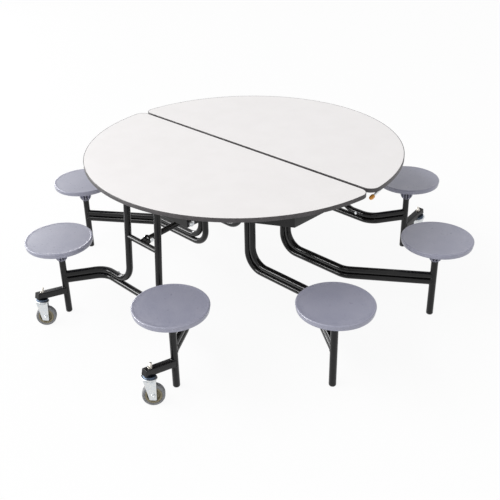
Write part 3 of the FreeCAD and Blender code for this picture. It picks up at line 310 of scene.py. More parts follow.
def thread(radius, bottom, top):
    """Threaded rod. Its radius at angle t and height z is
    radius - depth (1 + cos(2 pi z / pitch - t)) / 2, and its tip is drawn in."""
    z = np.arange(bottom, top, THREAD_PITCH / THREAD_RINGS)[:, None]
    t = np.linspace(0, 2 * np.pi, THREAD_POINTS, endpoint=False)
    wave = radius - THREAD_DEPTH * (1 + np.cos(2 * np.pi * z / THREAD_PITCH - t)) / 2
    rows = np.stack([wave * np.cos(t), wave * np.sin(t), z + 0 * t], axis=-1)
    tip = rows[-1] * (THREAD_TIP, THREAD_TIP, 0.0) + (0.0, 0.0, top + THREAD_DEPTH)
    return np.concatenate([rows, tip[None]])


# %% From a piece's own frame to the room
def seated(points, origin, across, over, along):
    """Local points carried to the room: their three numbers run along across, over and along."""
    return np.array(origin) + points[..., :1] * across + points[..., 1:2] * over + points[..., 2:] * along


X_AXIS, Y_AXIS, Z_AXIS = np.eye(3)


# %% [markdown]
# ## Finishes
# Each finish is a small node tree on one Principled shader. The pattern always comes from Object
# coordinates, which on these pieces are simply metres in the room, so a grain of half a
# millimetre stays half a millimetre on every piece. Colour varies a little, roughness varies a
# little more, and a fine bump breaks up the reflections.

# %% Material helpers
PATCH_SPAN = (0.3, 0.7)


class Finish:
    """A material with one Principled shader, and short calls for the nodes used here."""

    def __init__(self, name, colour, roughness, **sockets):
        self.material = bpy.data.materials.new(name)
        self.material.use_nodes = True
        self.tree = self.material.node_tree
        self.shader = self.tree.nodes["Principled BSDF"]
        self.shader.inputs["Base Color"].default_value = (*colour, 1.0)
        self.shader.inputs["Roughness"].default_value = roughness
        for socket, value in sockets.items():
            self.shader.inputs[socket.replace("_", " ")].default_value = value
        self.place = self.tree.nodes.new("ShaderNodeTexCoord").outputs["Object"]
        self.normal = None

    def link(self, source, target):
        self.tree.links.new(source, target)

    def noise(self, scale, detail):
        """Cloudy noise with about `scale` blobs to the metre."""
        node = self.tree.nodes.new("ShaderNodeTexNoise")
        node.inputs["Scale"].default_value = scale
        node.inputs["Detail"].default_value = detail
        self.link(self.place, node.inputs["Vector"])
        return node.outputs["Fac"]

    def pebbles(self, scale):
        """Distance to the nearest of many scattered points, about `scale` of them to the metre."""
        node = self.tree.nodes.new("ShaderNodeTexVoronoi")
        node.inputs["Scale"].default_value = scale
        self.link(self.place, node.inputs["Vector"])
        return node.outputs["Distance"]

    def remap(self, value, low_in, high_in, low_out, high_out):
        """Straight-line remapping of a value, clamped at both ends."""
        node = self.tree.nodes.new("ShaderNodeMapRange")
        for socket, number in (("From Min", low_in), ("From Max", high_in),
                               ("To Min", low_out), ("To Max", high_out)):
            node.inputs[socket].default_value = number
        self.link(value, node.inputs["Value"])
        return node.outputs["Result"]

    def mix(self, factor, low, high):
        """Colour between low and high by a factor. Each end is a colour or a socket."""
        node = self.tree.nodes.new("ShaderNodeMix")
        node.data_type = "RGBA"
        self.link(factor, node.inputs["Factor"])
        for socket, colour in (("A", low), ("B", high)):
            target = next(i for i in node.inputs if i.name == socket and i.type == "RGBA")
            if isinstance(colour, tuple):
                target.default_value = (*colour, 1.0)
            else:
                self.link(colour, target)
        return next(o for o in node.outputs if o.type == "RGBA")

    def height(self):
        """Height above the floor, in metres."""
        node = self.tree.nodes.new("ShaderNodeSeparateXYZ")
        self.link(self.place, node.inputs["Vector"])
        return node.outputs["Z"]

    def patches(self, scale, detail, low, high, span=PATCH_SPAN):
        """Number that drifts between low and high in patches."""
        return self.remap(self.noise(scale, detail), *span, low, high)

    def clouds(self, scale, detail, low, high, span=PATCH_SPAN):
        """Colour that drifts between low and high in patches."""
        return self.mix(self.patches(scale, detail, 0.0, 1.0, span), low, high)

    def flecks(self, base, scale, detail, span, share, colour):
        """Base colour with flecks: the other colour comes in, up to its share, where the noise
        rises through the span."""
        return self.mix(self.patches(scale, detail, 0.0, share, span), base, colour)

    def paint(self, colour):
        self.link(colour, self.shader.inputs["Base Color"])

    def rough(self, value):
        self.link(value, self.shader.inputs["Roughness"])

    def bump(self, height, strength, depth):
        """Add a bump to the ones already made."""
        node = self.tree.nodes.new("ShaderNodeBump")
        node.inputs["Strength"].default_value = strength
        node.inputs["Distance"].default_value = depth
        self.link(height, node.inputs["Height"])
        if self.normal is not None:
            self.link(self.normal, node.inputs["Normal"])
        self.normal = node.outputs["Normal"]
        self.link(self.normal, self.shader.inputs["Normal"])


# %% Laminate, seat plastic and glides
BACKING_TOP = TOP_HEIGHT - 0.018
BACKING_BLEND = 0.0005
SCUFF_LOW, SCUFF_HIGH, SCUFF_SHARE = 0.001, 0.005, 0.55


def laminate_finish():
    """Warm white laminate with a soft mottle, faint darker specks and a fine matt texture. The
    backing sheet below it is grey."""
    finish = Finish("laminate", (0.895, 0.872, 0.869), 0.42)
    mottle = finish.clouds(9.0, 4.0, (0.885, 0.862, 0.858), (0.905, 0.882, 0.880), (0.35, 0.65))
    speckled = finish.flecks(mottle, 1400.0, 1.0, (0.62, 0.72), 0.25, (0.76, 0.73, 0.72))
    under = finish.remap(finish.height(), BACKING_TOP, BACKING_TOP + BACKING_BLEND, 1.0, 0.0)
    finish.paint(finish.mix(under, speckled, (0.36, 0.33, 0.30)))
    finish.rough(finish.patches(30.0, 5.0, 0.36, 0.5))
    finish.bump(finish.noise(1100.0, 2.0), 0.12, 0.0002)
    return finish.material


def seat_finish():
    """Blue-grey moulded plastic: a pebbled texture with fine dark and light flecks."""
    finish = Finish("seat_plastic", (0.31, 0.315, 0.40), 0.32, Specular_IOR_Level=0.7)
    base = finish.clouds(14.0, 4.0, (0.292, 0.298, 0.390), (0.335, 0.338, 0.425))
    dark = finish.flecks(base, 430.0, 3.0, (0.48, 0.66), 0.30, (0.15, 0.155, 0.22))
    finish.paint(finish.flecks(dark, 340.0, 3.0, (0.48, 0.66), 0.34, (0.52, 0.52, 0.60)))
    finish.rough(finish.patches(60.0, 4.0, 0.27, 0.40))
    finish.bump(finish.pebbles(420.0), 0.10, 0.0003)
    finish.bump(finish.noise(1800.0, 2.0), 0.05, 0.0002)
    return finish.material


def glide_finish():
    """Black nylon of the floor glides, scuffed at the foot."""
    finish = Finish("glide_plastic", (0.03, 0.03, 0.03), 0.5)
    scuff = finish.remap(finish.height(), SCUFF_LOW, SCUFF_HIGH, SCUFF_SHARE, 0.0)
    finish.paint(finish.mix(scuff, (0.025, 0.025, 0.026), (0.16, 0.155, 0.15)))
    finish.rough(finish.patches(300.0, 3.0, 0.42, 0.65))
    finish.bump(finish.noise(900.0, 2.0), 0.2, 0.0002)
    return finish.material


# %% Vinyl, paint, metals and rubber
def cloudy_finish(name, colour, roughness, tint, gloss, grain, **sockets):
    """Finish of all the other pieces: its colour drifts in patches, and its roughness too where
    gloss is given, over a fine bump. tint and gloss are (scale, detail, low, high), and grain is
    (scale, detail, strength, depth)."""
    finish = Finish(name, colour, roughness, **sockets)
    finish.paint(finish.clouds(*tint))
    if gloss:
        finish.rough(finish.patches(*gloss))
    finish.bump(finish.noise(*grain[:2]), *grain[2:])
    return finish.material


def plated_finish(name, cool, warm, low, high):
    """Plated steel: patches of slightly different tint and gloss."""
    return cloudy_finish(name, cool, low, (160.0, 4.0, cool, warm), (240.0, 4.0, low, high),
                         (700.0, 3.0, 0.15, 0.0002), Metallic=1.0)


FINISHES = {
    "laminate": laminate_finish(),
    # Charcoal vinyl, faintly grained.
    "edge_vinyl": cloudy_finish(
        "edge_vinyl", (0.055, 0.050, 0.053), 0.45,
        (45.0, 5.0, (0.045, 0.040, 0.043), (0.075, 0.068, 0.071)),
        (220.0, 3.0, 0.36, 0.56), (1600.0, 2.0, 0.25, 0.0002)),
    # Gloss black with the orange-peel ripple that powder coat dries with.
    "black_powder_coat": cloudy_finish(
        "black_powder_coat", (0.005, 0.0048, 0.0054), 0.2,
        (70.0, 5.0, (0.0035, 0.0033, 0.0038), (0.008, 0.0075, 0.0085), (0.35, 0.75)),
        (40.0, 4.0, 0.15, 0.22), (260.0, 2.0, 0.02, 0.0001), Specular_IOR_Level=0.32),
    "zinc": plated_finish("zinc", (0.60, 0.65, 0.70), (0.80, 0.79, 0.76), 0.22, 0.42),
    "seat_plastic": seat_finish(),
    "glide_plastic": glide_finish(),
    # Oiled steel of bearings that sit in shadow. In the stool hubs it is partly painted shade.
    "dark_steel": cloudy_finish(
        "dark_steel", (0.03, 0.03, 0.032), 0.4,
        (120.0, 4.0, (0.020, 0.020, 0.022), (0.050, 0.048, 0.050)),
        None, (600.0, 2.0, 0.2, 0.0002), Metallic=0.6),
    # Grey non-marking tread, dusty from the floor.
    "tread_rubber": cloudy_finish(
        "tread_rubber", (0.21, 0.215, 0.225), 0.6,
        (110.0, 6.0, (0.18, 0.185, 0.195), (0.27, 0.27, 0.275), (0.35, 0.7)),
        (200.0, 3.0, 0.5, 0.75), (1000.0, 3.0, 0.35, 0.0003)),
    # Olive moulded plastic.
    "wheel_core": cloudy_finish(
        "wheel_core", (0.22, 0.19, 0.12), 0.45,
        (90.0, 4.0, (0.18, 0.155, 0.095), (0.27, 0.235, 0.15)),
        None, (900.0, 2.0, 0.2, 0.0002)),
    # Dipped vinyl that lets a little light through.
    "orange_grip": cloudy_finish(
        "orange_grip", (0.80, 0.35, 0.04), 0.32,
        (180.0, 3.0, (0.72, 0.27, 0.02), (0.88, 0.43, 0.06)),
        None, (500.0, 2.0, 0.2, 0.0003),
        Subsurface_Weight=0.15, Subsurface_Radius=(0.004, 0.002, 0.001)),
}
WARM_ZINC = plated_finish("warm_zinc", (0.72, 0.68, 0.62), (0.85, 0.82, 0.76), 0.24, 0.40)
BLUE_ZINC = plated_finish("blue_zinc", (0.03, 0.045, 0.07), (0.16, 0.20, 0.26), 0.25, 0.4)
print("finishes:", ", ".join(FINISHES))

# %% [markdown]
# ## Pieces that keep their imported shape
# Brackets, plates, screws and pins are already right, so they only get a finish: each node takes
# the one of its own material slot.

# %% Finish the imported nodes
for entry in frame["record"]["subparts"]:
    node = frame["nodes"][entry["node"]]
    node.data.materials.clear()
    node.data.materials.append(FINISHES[entry["material_slot"]])
print("finished", len(frame["nodes"]), "packed nodes")

# %% [markdown]
# ## The round top
# Each half is a D: a big arc, a straight edge along the split, and two rounded corners. An offset
# of such an outline is the same outline with smaller radii, so one function gives the laminate's
# edge and every line of the vinyl band round it.

# %% Outline of one half
band_low, band_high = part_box("near_edge_band")
TOP_RADIUS = -band_low.y
SPLIT_Y = -band_high.y
SPLIT_CORNER = 0.045
BAND_THICKNESS = 0.003
UNDERSIDE = band_low.z
CORNER_POINTS = 14
ARC_POINTS = 180


def half_outline():
    """Points and outward normals of the near half. The corner arcs touch the big arc where the
    line from the middle through their centres meets it."""
    corner_y = -SPLIT_Y - SPLIT_CORNER
    corner_x = math.sqrt((TOP_RADIUS - SPLIT_CORNER) ** 2 - corner_y ** 2)
    touch = math.degrees(math.atan2(corner_y, corner_x))
    points, normals = [], []
    for centre, radius, start, end, count in (
            ((corner_x, corner_y), SPLIT_CORNER, touch, 90, CORNER_POINTS),
            ((-corner_x, corner_y), SPLIT_CORNER, 90, 180 - touch, CORNER_POINTS),
            ((0.0, 0.0), TOP_RADIUS, 180 - touch, 360 + touch, ARC_POINTS)):
        t = np.radians(np.linspace(start, end, count, endpoint=radius != TOP_RADIUS))
        normal = np.stack([np.cos(t), np.sin(t)], axis=1)
        points.append(np.array(centre) + radius * normal)
        normals.append(normal)
    return np.concatenate(points), np.concatenate(normals)


OUTLINE, OUTLINE_NORMALS = half_outline()


def around(profile):
    """Rows of points from a profile of (inset, height), each row the outline drawn in."""
    rows = [np.column_stack([OUTLINE - OUTLINE_NORMALS * inset, np.full(len(OUTLINE), height)])
            for inset, height in profile]
    return np.array(rows)


# %% Laminate and edge bands
ARRIS = 0.0004
BAND_ROUND = 0.0016
BAND_LIP = 0.0003


def make_top(side, place):
    """Laminated board and vinyl band of one half. The band's outer edges are rounded, and its
    rim stands a hair above the laminate."""
    inset, top, bottom = BAND_THICKNESS, TOP_HEIGHT, UNDERSIDE
    laminate_top = top - BAND_LIP
    panel, band = Surface(), Surface()
    panel.grid(place(around([(inset + ARRIS, bottom), (inset, bottom + ARRIS),
                             (inset, laminate_top - ARRIS), (inset + ARRIS, laminate_top)])))
    panel.place(side + "_laminate_top", side + "_half", "laminate", [side + "_top_panel"])
    profile = np.concatenate([
        [(inset, laminate_top), (inset - 2 * BAND_LIP, top)],
        corner_arc((BAND_ROUND, top - BAND_ROUND), BAND_ROUND, 90, 180),
        corner_arc((BAND_ROUND, bottom + BAND_ROUND), BAND_ROUND, 180, 270),
        [(inset, bottom)]])
    band.grid(place(around(profile)), ends="loop")
    band.place(side + "_vinyl_band", side + "_half", "edge_vinyl", [side + "_edge_band"])


SIDES = {"near": lambda points: points, "far": half_turn}
for side, place in SIDES.items():
    make_top(side, place)
print("top radius", round(TOP_RADIUS, 4), "split half gap", round(SPLIT_Y, 4))

# %% [markdown]
# ## Bent tubes
# The frames are bent from one size of round tube. A bender leaves straight runs joined by arcs of
# a fixed radius, and that is how the centre lines below are written: the corner points, then
# the radius at each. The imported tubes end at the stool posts, and so do these.

# %% Tube routes
TUBE_RADIUS = 0.015875
WELD_GAP = 0.0002
LOWER_Z = 0.180
UPPER_Z = LOWER_Z + 2 * TUBE_RADIUS + WELD_GAP
LEG_POST = (0.408, -0.8275)
LEG_CORNER = (0.303, -0.654)
LEG_X = 0.108
LEG_PIVOT = (-0.627, 0.675)
CENTRE_POST = (0.876, 0.365)
CENTRE_CORNER = (0.5416, 0.127)
CENTRE_LEG_X = 0.168
LOOP_HALF_PITCH = TUBE_RADIUS + WELD_GAP / 2
CENTRE_TUBE_TOP = 0.660
LEG_CORNER_RADIUS = 0.090
BEND_RADIUS = 0.0889
SLEEVE_RADIUS = 0.016
SLEEVE_HALF_LENGTH = 0.130
ARM_OVERLAP = 0.35 * TUBE_RADIUS
# A direction along which no tube runs, so every sweep can start from it.
SWEEP_SIDE = (0.13, 0.31, 0.94)


def short_of_post(corner, post, height):
    """Point where a tube from a corner to a post ends: just short of the post's own centre line,
    so that its end hides inside the post."""
    run = unit(np.array(corner) - np.array(post))
    return (*(np.array(post) + run * ARM_OVERLAP), height)


def tube(surface, corners, radii, place):
    """Add a round tube along a rounded route."""
    route = rounded_route(corners, radii)
    surface.grid(place(carry(route, circle(TUBE_RADIUS), SWEEP_SIDE)))


def leg_upper_route(hand):
    """Stool arm that turns up into a leg and leans inwards to the pivot."""
    corners = [short_of_post(LEG_CORNER, LEG_POST, UPPER_Z), (*LEG_CORNER, UPPER_Z),
               (LEG_X, LEG_CORNER[1], UPPER_Z), (LEG_X, *LEG_PIVOT)]
    return np.array(corners) * np.array([hand, 1, 1])


def leg_lower_route():
    """Tube under both stool arms, from post to post."""
    right = [(*LEG_CORNER, LOWER_Z), short_of_post(LEG_CORNER, LEG_POST, LOWER_Z)]
    left = [(-x, y, z) for x, y, z in reversed(right)]
    return left + right


def loop_route(hand, end, shift, height):
    """Leg of the centre frame that turns out into a stool arm. The outer and the inner loops are
    shifted apart, so that they pass each other."""
    x, y = CENTRE_LEG_X + shift, CENTRE_CORNER[1]
    corners = [(x, y, CENTRE_TUBE_TOP), (x, y, height), (*CENTRE_CORNER, height),
               short_of_post(CENTRE_CORNER, CENTRE_POST, height)]
    return np.array(corners) * np.array([hand, end, 1])


# %% Make the tubes
for side, place in SIDES.items():
    body = side + "_leg_frame"
    legs, lower = Surface(), Surface()
    for hand in (-1, 1):
        tube(legs, leg_upper_route(hand), [LEG_CORNER_RADIUS, BEND_RADIUS], place)
    sleeve = np.array([(x, *LEG_PIVOT) for x in (-SLEEVE_HALF_LENGTH, SLEEVE_HALF_LENGTH)])
    legs.grid(place(carry(sleeve, circle(SLEEVE_RADIUS), Z_AXIS)))
    legs.place(side + "_legs", body, "black_powder_coat", [side + "_leg_tubes"])
    tube(lower, leg_lower_route(), [LEG_CORNER_RADIUS, LEG_CORNER_RADIUS], place)
    lower.place(side + "_foot_tube", body, "black_powder_coat", [side + "_lower_tube"])

for name, shift, height in (("outer", -LOOP_HALF_PITCH, LOWER_Z), ("inner", LOOP_HALF_PITCH, UPPER_Z)):
    loops = Surface()
    for hand in (-1, 1):
        for end in (-1, 1):
            tube(loops, loop_route(hand, end, shift, height), [BEND_RADIUS, BEND_RADIUS], SIDES["near"])
    loops.place("centre_" + name + "_bent_tubes", "centre_frame", "black_powder_coat",
                ["centre_" + name + "_loops"])
print("bent the tubes of", len(SIDES), "leg frames and of the centre frame")

# %% [markdown]
# ## Stool posts, glides and weld beads
# A post is a plain tube. What makes the joint look real is the weld: a small rippled bead that
# follows the curve where the arm meets the post. On an arm of radius r that meets a post of radius
# R, a point at sideways distance p sits at sqrt(R*R - p*p) along the arm.

# %% Posts and glides
near_post_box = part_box("near_posts")
POST_BOTTOM, POST_TOP = near_post_box[0].z, near_post_box[1].z
GLIDE_FOOT = 0.68 * TUBE_RADIUS
GLIDE_SWELL = 0.94
EDGE = 0.0006
POST_POINTS = 40
LEG_POSTS = [(hand * LEG_POST[0], LEG_POST[1]) for hand in (-1, 1)]
CENTRE_POSTS = [(hand * CENTRE_POST[0], end * CENTRE_POST[1]) for end in (-1, 1) for hand in (-1, 1)]
FRAMES = {
    "near": (LEG_POSTS, LEG_CORNER, SIDES["near"], "near_leg_frame"),
    "far": (LEG_POSTS, LEG_CORNER, SIDES["far"], "far_leg_frame"),
    "centre": (CENTRE_POSTS, CENTRE_CORNER, SIDES["near"], "centre_frame"),
}


def glide_profile():
    """Bullet of the glide: a flat foot, then an ellipse quarter that swells to the tube."""
    t = np.linspace(0, np.pi / 2, 10)
    radius = GLIDE_FOOT + (TUBE_RADIUS - GLIDE_FOOT) * np.sin(t)
    height = POST_BOTTOM * (1 - np.cos(t)) * GLIDE_SWELL
    neck = [(TUBE_RADIUS, POST_BOTTOM - EDGE), (TUBE_RADIUS - 2 * EDGE, POST_BOTTOM), (0.0, POST_BOTTOM)]
    return np.concatenate([[(0.0, 0.0)], np.stack([radius, height], axis=1), neck])


def post_profile():
    """Tube wall from the glide to the seat spindle, its ends very slightly rounded."""
    return [(0.0, POST_BOTTOM), (TUBE_RADIUS - EDGE, POST_BOTTOM), (TUBE_RADIUS, POST_BOTTOM + EDGE),
            (TUBE_RADIUS, POST_TOP - EDGE), (TUBE_RADIUS - EDGE, POST_TOP), (0.0, POST_TOP)]


for name, (posts, corner, place, body) in FRAMES.items():
    post_tubes, feet = Surface(), Surface()
    for x, y in posts:
        shift = np.array([x, y, 0.0])
        post_tubes.grid(place(lathe(post_profile(), POST_POINTS) + shift))
        feet.grid(place(lathe(glide_profile(), POST_POINTS) + shift))
    post_tubes.place(name + "_stool_posts", body, "black_powder_coat", [name + "_posts"])
    feet.place(name + "_floor_glides", body, "glide_plastic", [name + "_glides"])

# %% Weld beads
BEAD_RADIUS = 0.0021
# A little less than the arm's radius, so that no point of the bead leaves the post's wall.
BEAD_WALL = 0.985
BEAD_STEPS = 104
BEAD_POINTS = 10
RIPPLES, RIPPLE_HEIGHT = 26, 0.14
SWELLS, SWELL_HEIGHT, SWELL_TURN = 5, 0.08, 40.0


def bead(surface, line, start_side, radii, count, place):
    """Closed bead along a line, count points round, with its own radius at each point."""
    spokes = carry(line, circle(1.0, count), start_side, loop=True) - line[:, None]
    surface.grid(place(line[:, None] + spokes * radii[:, None, None]), ends="loop")


def weld_bead(surface, post, corner, height, place):
    """Rippled bead where an arm meets a post. Round the arm by angle t, the bead's centre is
    r cos t sideways, r sin t up and sqrt(R*R - (r cos t)^2) along the arm. A slow swell, which
    starts elsewhere on each post, keeps the beads from looking alike."""
    post = np.array(post)
    run = unit(np.array(corner) - post)
    along = np.array([*run, 0.0])
    sideways = np.array([-run[1], run[0], 0.0])
    t = np.linspace(0, 2 * np.pi, BEAD_STEPS, endpoint=False)
    p = BEAD_WALL * TUBE_RADIUS * np.cos(t)
    reach = np.sqrt(TUBE_RADIUS ** 2 - p ** 2)
    line = (np.array([*post, height]) + np.outer(reach, along) + np.outer(p, sideways)
            + np.outer(TUBE_RADIUS * np.sin(t), Z_AXIS))
    ripple = RIPPLE_HEIGHT * np.sin(RIPPLES * t)
    swell = SWELL_HEIGHT * np.sin(SWELLS * t + post[0] * SWELL_TURN)
    bead(surface, line, along, BEAD_RADIUS * (1 + ripple + swell), BEAD_POINTS, place)


for name, (posts, corner, place, body) in FRAMES.items():
    beads = Surface()
    for x, y in posts:
        arm_corner = (math.copysign(corner[0], x), math.copysign(corner[1], y))
        for height in (LOWER_Z, UPPER_Z):
            weld_bead(beads, (x, y), arm_corner, height, place)
    beads.place(name + "_weld_beads", body, "black_powder_coat")
print("set", sum(len(posts) for posts, *_ in FRAMES.values()) * 2, "weld beads")

# %% [markdown]
# ## Stools
# A seat is one moulding: a pebbled disc, a thin raised bead near its rim, a short side wall
# and a hollow underside with a ribbed hub. The profile is turned on a lathe, and the ribs are
# thin plates set round the hub.

# %% Seat profile
SEAT_RADIUS = 0.1605
SEAT_TOP = 0.412
SEAT_DISH = 0.0010
SEAT_CROWN = 0.0010
DISH_RADIUS = 0.147
LIP_RADIUS = 0.1535
EDGE_ROUND = 0.0050
RIM_BOTTOM = 0.388
RIM_DRAFT = 0.0030
FOOT_ROUND = 0.0015
SEAT_WALL = 0.005
SEAT_LEVEL = SEAT_TOP - SEAT_DISH
SEAT_UNDERSIDE = SEAT_LEVEL - SEAT_WALL
HUB_RADIUS = 0.0345


def seat_profile():
    """Half section of the moulding from the middle of the top, over the rim, to the hub. The
    disc is crowned by a cosine, and the bead near its rim rises by 3 s^2 - 2 s^3."""
    middle = np.linspace(0.002, DISH_RADIUS, 12)
    crown = SEAT_LEVEL + SEAT_CROWN * np.cos(middle / DISH_RADIUS * np.pi / 2)
    share = np.linspace(0.12, 1, 8)
    lip = np.stack([DISH_RADIUS + (LIP_RADIUS - DISH_RADIUS) * share,
                    SEAT_LEVEL + SEAT_DISH * share ** 2 * (3 - 2 * share)], axis=1)
    edge = corner_arc((SEAT_RADIUS - EDGE_ROUND, SEAT_TOP - EDGE_ROUND), EDGE_ROUND, 80, 0, 9)
    foot_centre = (SEAT_RADIUS - RIM_DRAFT - FOOT_ROUND, RIM_BOTTOM + FOOT_ROUND)
    foot = corner_arc(foot_centre, FOOT_ROUND, 0, -90, 4)
    wall, under = SEAT_RADIUS - SEAT_WALL, SEAT_UNDERSIDE
    inside = [(wall - 0.0020, RIM_BOTTOM), (wall - 0.0030, RIM_BOTTOM + 0.0012),
              (wall - 0.0040, under - 0.0030), (wall - 0.0070, under)]
    root = [(HUB_RADIUS + 0.003, under), (HUB_RADIUS, under - 0.002), (HUB_RADIUS, under - 0.006),
            (HUB_RADIUS - 0.003, under - 0.0065), (0.0, under - 0.0065)]
    disc = [(0.0, SEAT_LEVEL + SEAT_CROWN), *zip(middle, crown)]
    return np.concatenate([disc, lip, edge, foot, inside, root])


# %% Ribbed hub and bearing
HUB_BOTTOM = 0.293
HUB_NECK = 0.0175
HUB_EDGE = [(HUB_NECK, 0.0), (0.0215, 0.0028), (0.0250, 0.0064), (0.0278, 0.0104), (0.0297, 0.0146),
            (0.0310, 0.0190), (0.0322, 0.0300), (0.0332, 0.0500), (0.0340, 0.0800)]
FLANGE_HEIGHT = 0.003
FLANGE_DRAFT = 0.001
RIB_COUNT = 12
RIB_THICKNESS = 0.004
RIB_BEVEL = 0.0005
RIB_TOP = SEAT_UNDERSIDE - 0.004
BEARING_RADIUS = 0.0145
BEARING_TOP = SEAT_UNDERSIDE - 0.006
RIB_INNER = BEARING_RADIUS - 0.0015


def hub_rib(angle):
    """One rib of the hub: a slim plate whose outer edge runs straight down and then rounds in
    to the neck."""
    outer = [(radius, HUB_BOTTOM + height) for radius, height in HUB_EDGE]
    outline = [(RIB_INNER, HUB_BOTTOM), *outer, (HUB_RADIUS, RIB_TOP), (RIB_INNER, RIB_TOP)]
    rows = plate(outline, -RIB_THICKNESS / 2, RIB_THICKNESS / 2, RIB_BEVEL)
    out = np.array([math.cos(angle), math.sin(angle), 0.0])
    return seated(rows, (0, 0, 0), out, Z_AXIS, np.cross(out, Z_AXIS))


def flange_profile():
    """Thin ring that ties the ribs' lower ends together."""
    top = HUB_BOTTOM + FLANGE_HEIGHT
    return [(0.0, HUB_BOTTOM), (HUB_NECK, HUB_BOTTOM), (HUB_NECK + FLANGE_DRAFT, top), (0.0, top)]


def bearing_profile():
    """Swivel housing inside the ribs: a pressed bottom lip, and a cone that widens upwards. Its
    near black is partly painted shade, the shade deep in the hollow hub.
    """
    radius, bottom = BEARING_RADIUS, HUB_BOTTOM
    return [(0.0, bottom - 0.0003), (radius - 0.001, bottom - 0.0003), (radius, bottom + 0.001),
            (radius + 0.001, bottom + 0.010), (radius + 0.003, BEARING_TOP - 0.006),
            (radius + 0.005, BEARING_TOP), (0.0, BEARING_TOP)]


# %% Make the stools
STOOL_CREASE = 28.0
SEAT_POINTS = 96
HUB_POINTS = 48
HANDS = {"left": -1, "right": 1}
ENDS = {"near": -1, "far": 1}
SEATS = {end + "_" + hand: (x * LEG_POST[0], -y * LEG_POST[1])
         for end, y in ENDS.items() for hand, x in HANDS.items()}
SEATS |= {hand + "_" + end: (x * CENTRE_POST[0], y * CENTRE_POST[1])
          for end, y in ENDS.items() for hand, x in HANDS.items()}

for name, (x, y) in SEATS.items():
    shift = np.array([x, y, 0.0])
    moulding, bearing = Surface(), Surface()
    moulding.grid(lathe(seat_profile(), SEAT_POINTS) + shift)
    for index in range(RIB_COUNT):
        moulding.grid(hub_rib(2 * math.pi * index / RIB_COUNT) + shift)
    moulding.grid(lathe(flange_profile(), HUB_POINTS) + shift)
    moulding.place("stool_" + name, "seat_" + name + "_top", "seat_plastic", ["seat_" + name],
                   crease=STOOL_CREASE)
    # The bearing is near black: partly a real swivel housing, partly painted shade in the hub's hollow.
    bearing.grid(lathe(bearing_profile(), HUB_POINTS) + shift)
    bearing.place("stool_bearing_and_shade_" + name, "seat_" + name + "_top", "dark_steel")
print("moulded", len(SEATS), "stools")

# %% [markdown]
# ## Casters
# A caster is easiest to make in its own frame: its stem points up, its wheel trails behind along
# the first axis, and its axle lies along the second. The arm that carries it rises by twelve
# degrees, and the stem leans with it. The wheel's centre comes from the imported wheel.

# %% Caster frame
CASTER_TILT = math.radians(12)
CASTER_HEADING = math.radians(50)
CASTER_TRAIL = 0.026
ARM_WIDTH = 0.03175
ARM_HEIGHT = 0.126
ARM_LENGTH = 0.161 / math.cos(CASTER_TILT)
STEM_ALONG_ARM = 0.1325 / math.cos(CASTER_TILT)
ARM_UP = np.array([0.0, math.sin(CASTER_TILT), math.cos(CASTER_TILT)])
ARM_ALONG = np.array([0.0, -math.cos(CASTER_TILT), math.sin(CASTER_TILT)])
TRAIL_AXIS = X_AXIS * math.cos(CASTER_HEADING) - ARM_ALONG * math.sin(CASTER_HEADING)
AXLE_AXIS = np.cross(ARM_UP, TRAIL_AXIS)


def arm_start(post):
    """Point on a post's axis where its caster arm's centre line starts."""
    return np.array([*post, ARM_HEIGHT])


def stem_seat(post):
    """Point where the stem leaves the underside of the arm."""
    return arm_start(post) + ARM_ALONG * STEM_ALONG_ARM - ARM_UP * ARM_WIDTH / 2


def at_caster(points, post):
    """Points of the caster's own frame (trail, axle, stem) carried to the room."""
    return seated(points, stem_seat(post), TRAIL_AXIS, AXLE_AXIS, ARM_UP)


def at_wheel(points, post):
    """Points of a lathe about the axle carried to the room."""
    centre = stem_seat(post) + TRAIL_AXIS * CASTER_TRAIL - ARM_UP * WHEEL_DROP
    return seated(points, centre, TRAIL_AXIS, ARM_UP, AXLE_AXIS)


core_low, core_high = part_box("caster_core_near_right")
core_centre = np.array(core_low + core_high) / 2
WHEEL_DROP = float((stem_seat(LEG_POST) + TRAIL_AXIS * CASTER_TRAIL - core_centre) @ ARM_UP)
print("wheel centre below the stem seat by", round(WHEEL_DROP, 5))

# %% Caster arms, stems and raceways
ARM_CORNER = 0.0032
ARM_SECTION = rounded_box(ARM_WIDTH, ARM_WIDTH, ARM_CORNER)
ARM_BEVEL = 0.0012
ARM_WELD_STEPS = 6
ARM_WELD_POINTS = 8
ARM_RIPPLE_PITCH = 0.0034
ARM_RIPPLE_HEIGHT = 0.15
STEM_RADIUS = 0.006
STEM_NUT_FLATS = 0.017
STEM_NUT_HEIGHT = 0.009
STEM_END = ARM_WIDTH + STEM_NUT_HEIGHT + 0.014
WASHER_RADIUS = 0.0098
WASHER_HEIGHT = 0.0012
WASHER_BEVEL = 0.0003
RACEWAY_RADIUS = 0.028
RACEWAY_HEIGHT = 0.008
RACEWAY_ROUND = 0.002
RIVET_RADIUS = 0.008
RIVET_TOP = -0.0122
RIVET_BOTTOM = -0.0157
RUNNING_GAP = 0.0006


def arm_weld(surface, post, place):
    """Rippled bead round the arm where it meets the post. A point of the arm's outline at sideways
    distance p and height h lies (sqrt(R*R - p*p) + h sin tilt) / cos tilt along the arm."""
    p, h = divided(ARM_SECTION, ARM_WELD_STEPS).T
    wall = np.sqrt(np.maximum(TUBE_RADIUS ** 2 - p ** 2, 0))
    reach = (wall + h * math.sin(CASTER_TILT)) / math.cos(CASTER_TILT)
    line = arm_start(post) + np.outer(reach, ARM_ALONG) + np.outer(p, X_AXIS) + np.outer(h, ARM_UP)
    travelled = np.linalg.norm(np.diff(line, axis=0, append=line[:1]), axis=1).cumsum()
    ripple = ARM_RIPPLE_HEIGHT * np.sin(2 * np.pi * travelled / ARM_RIPPLE_PITCH)
    bead(surface, line, Z_AXIS, BEAD_RADIUS * (1 + ripple), ARM_WELD_POINTS, place)


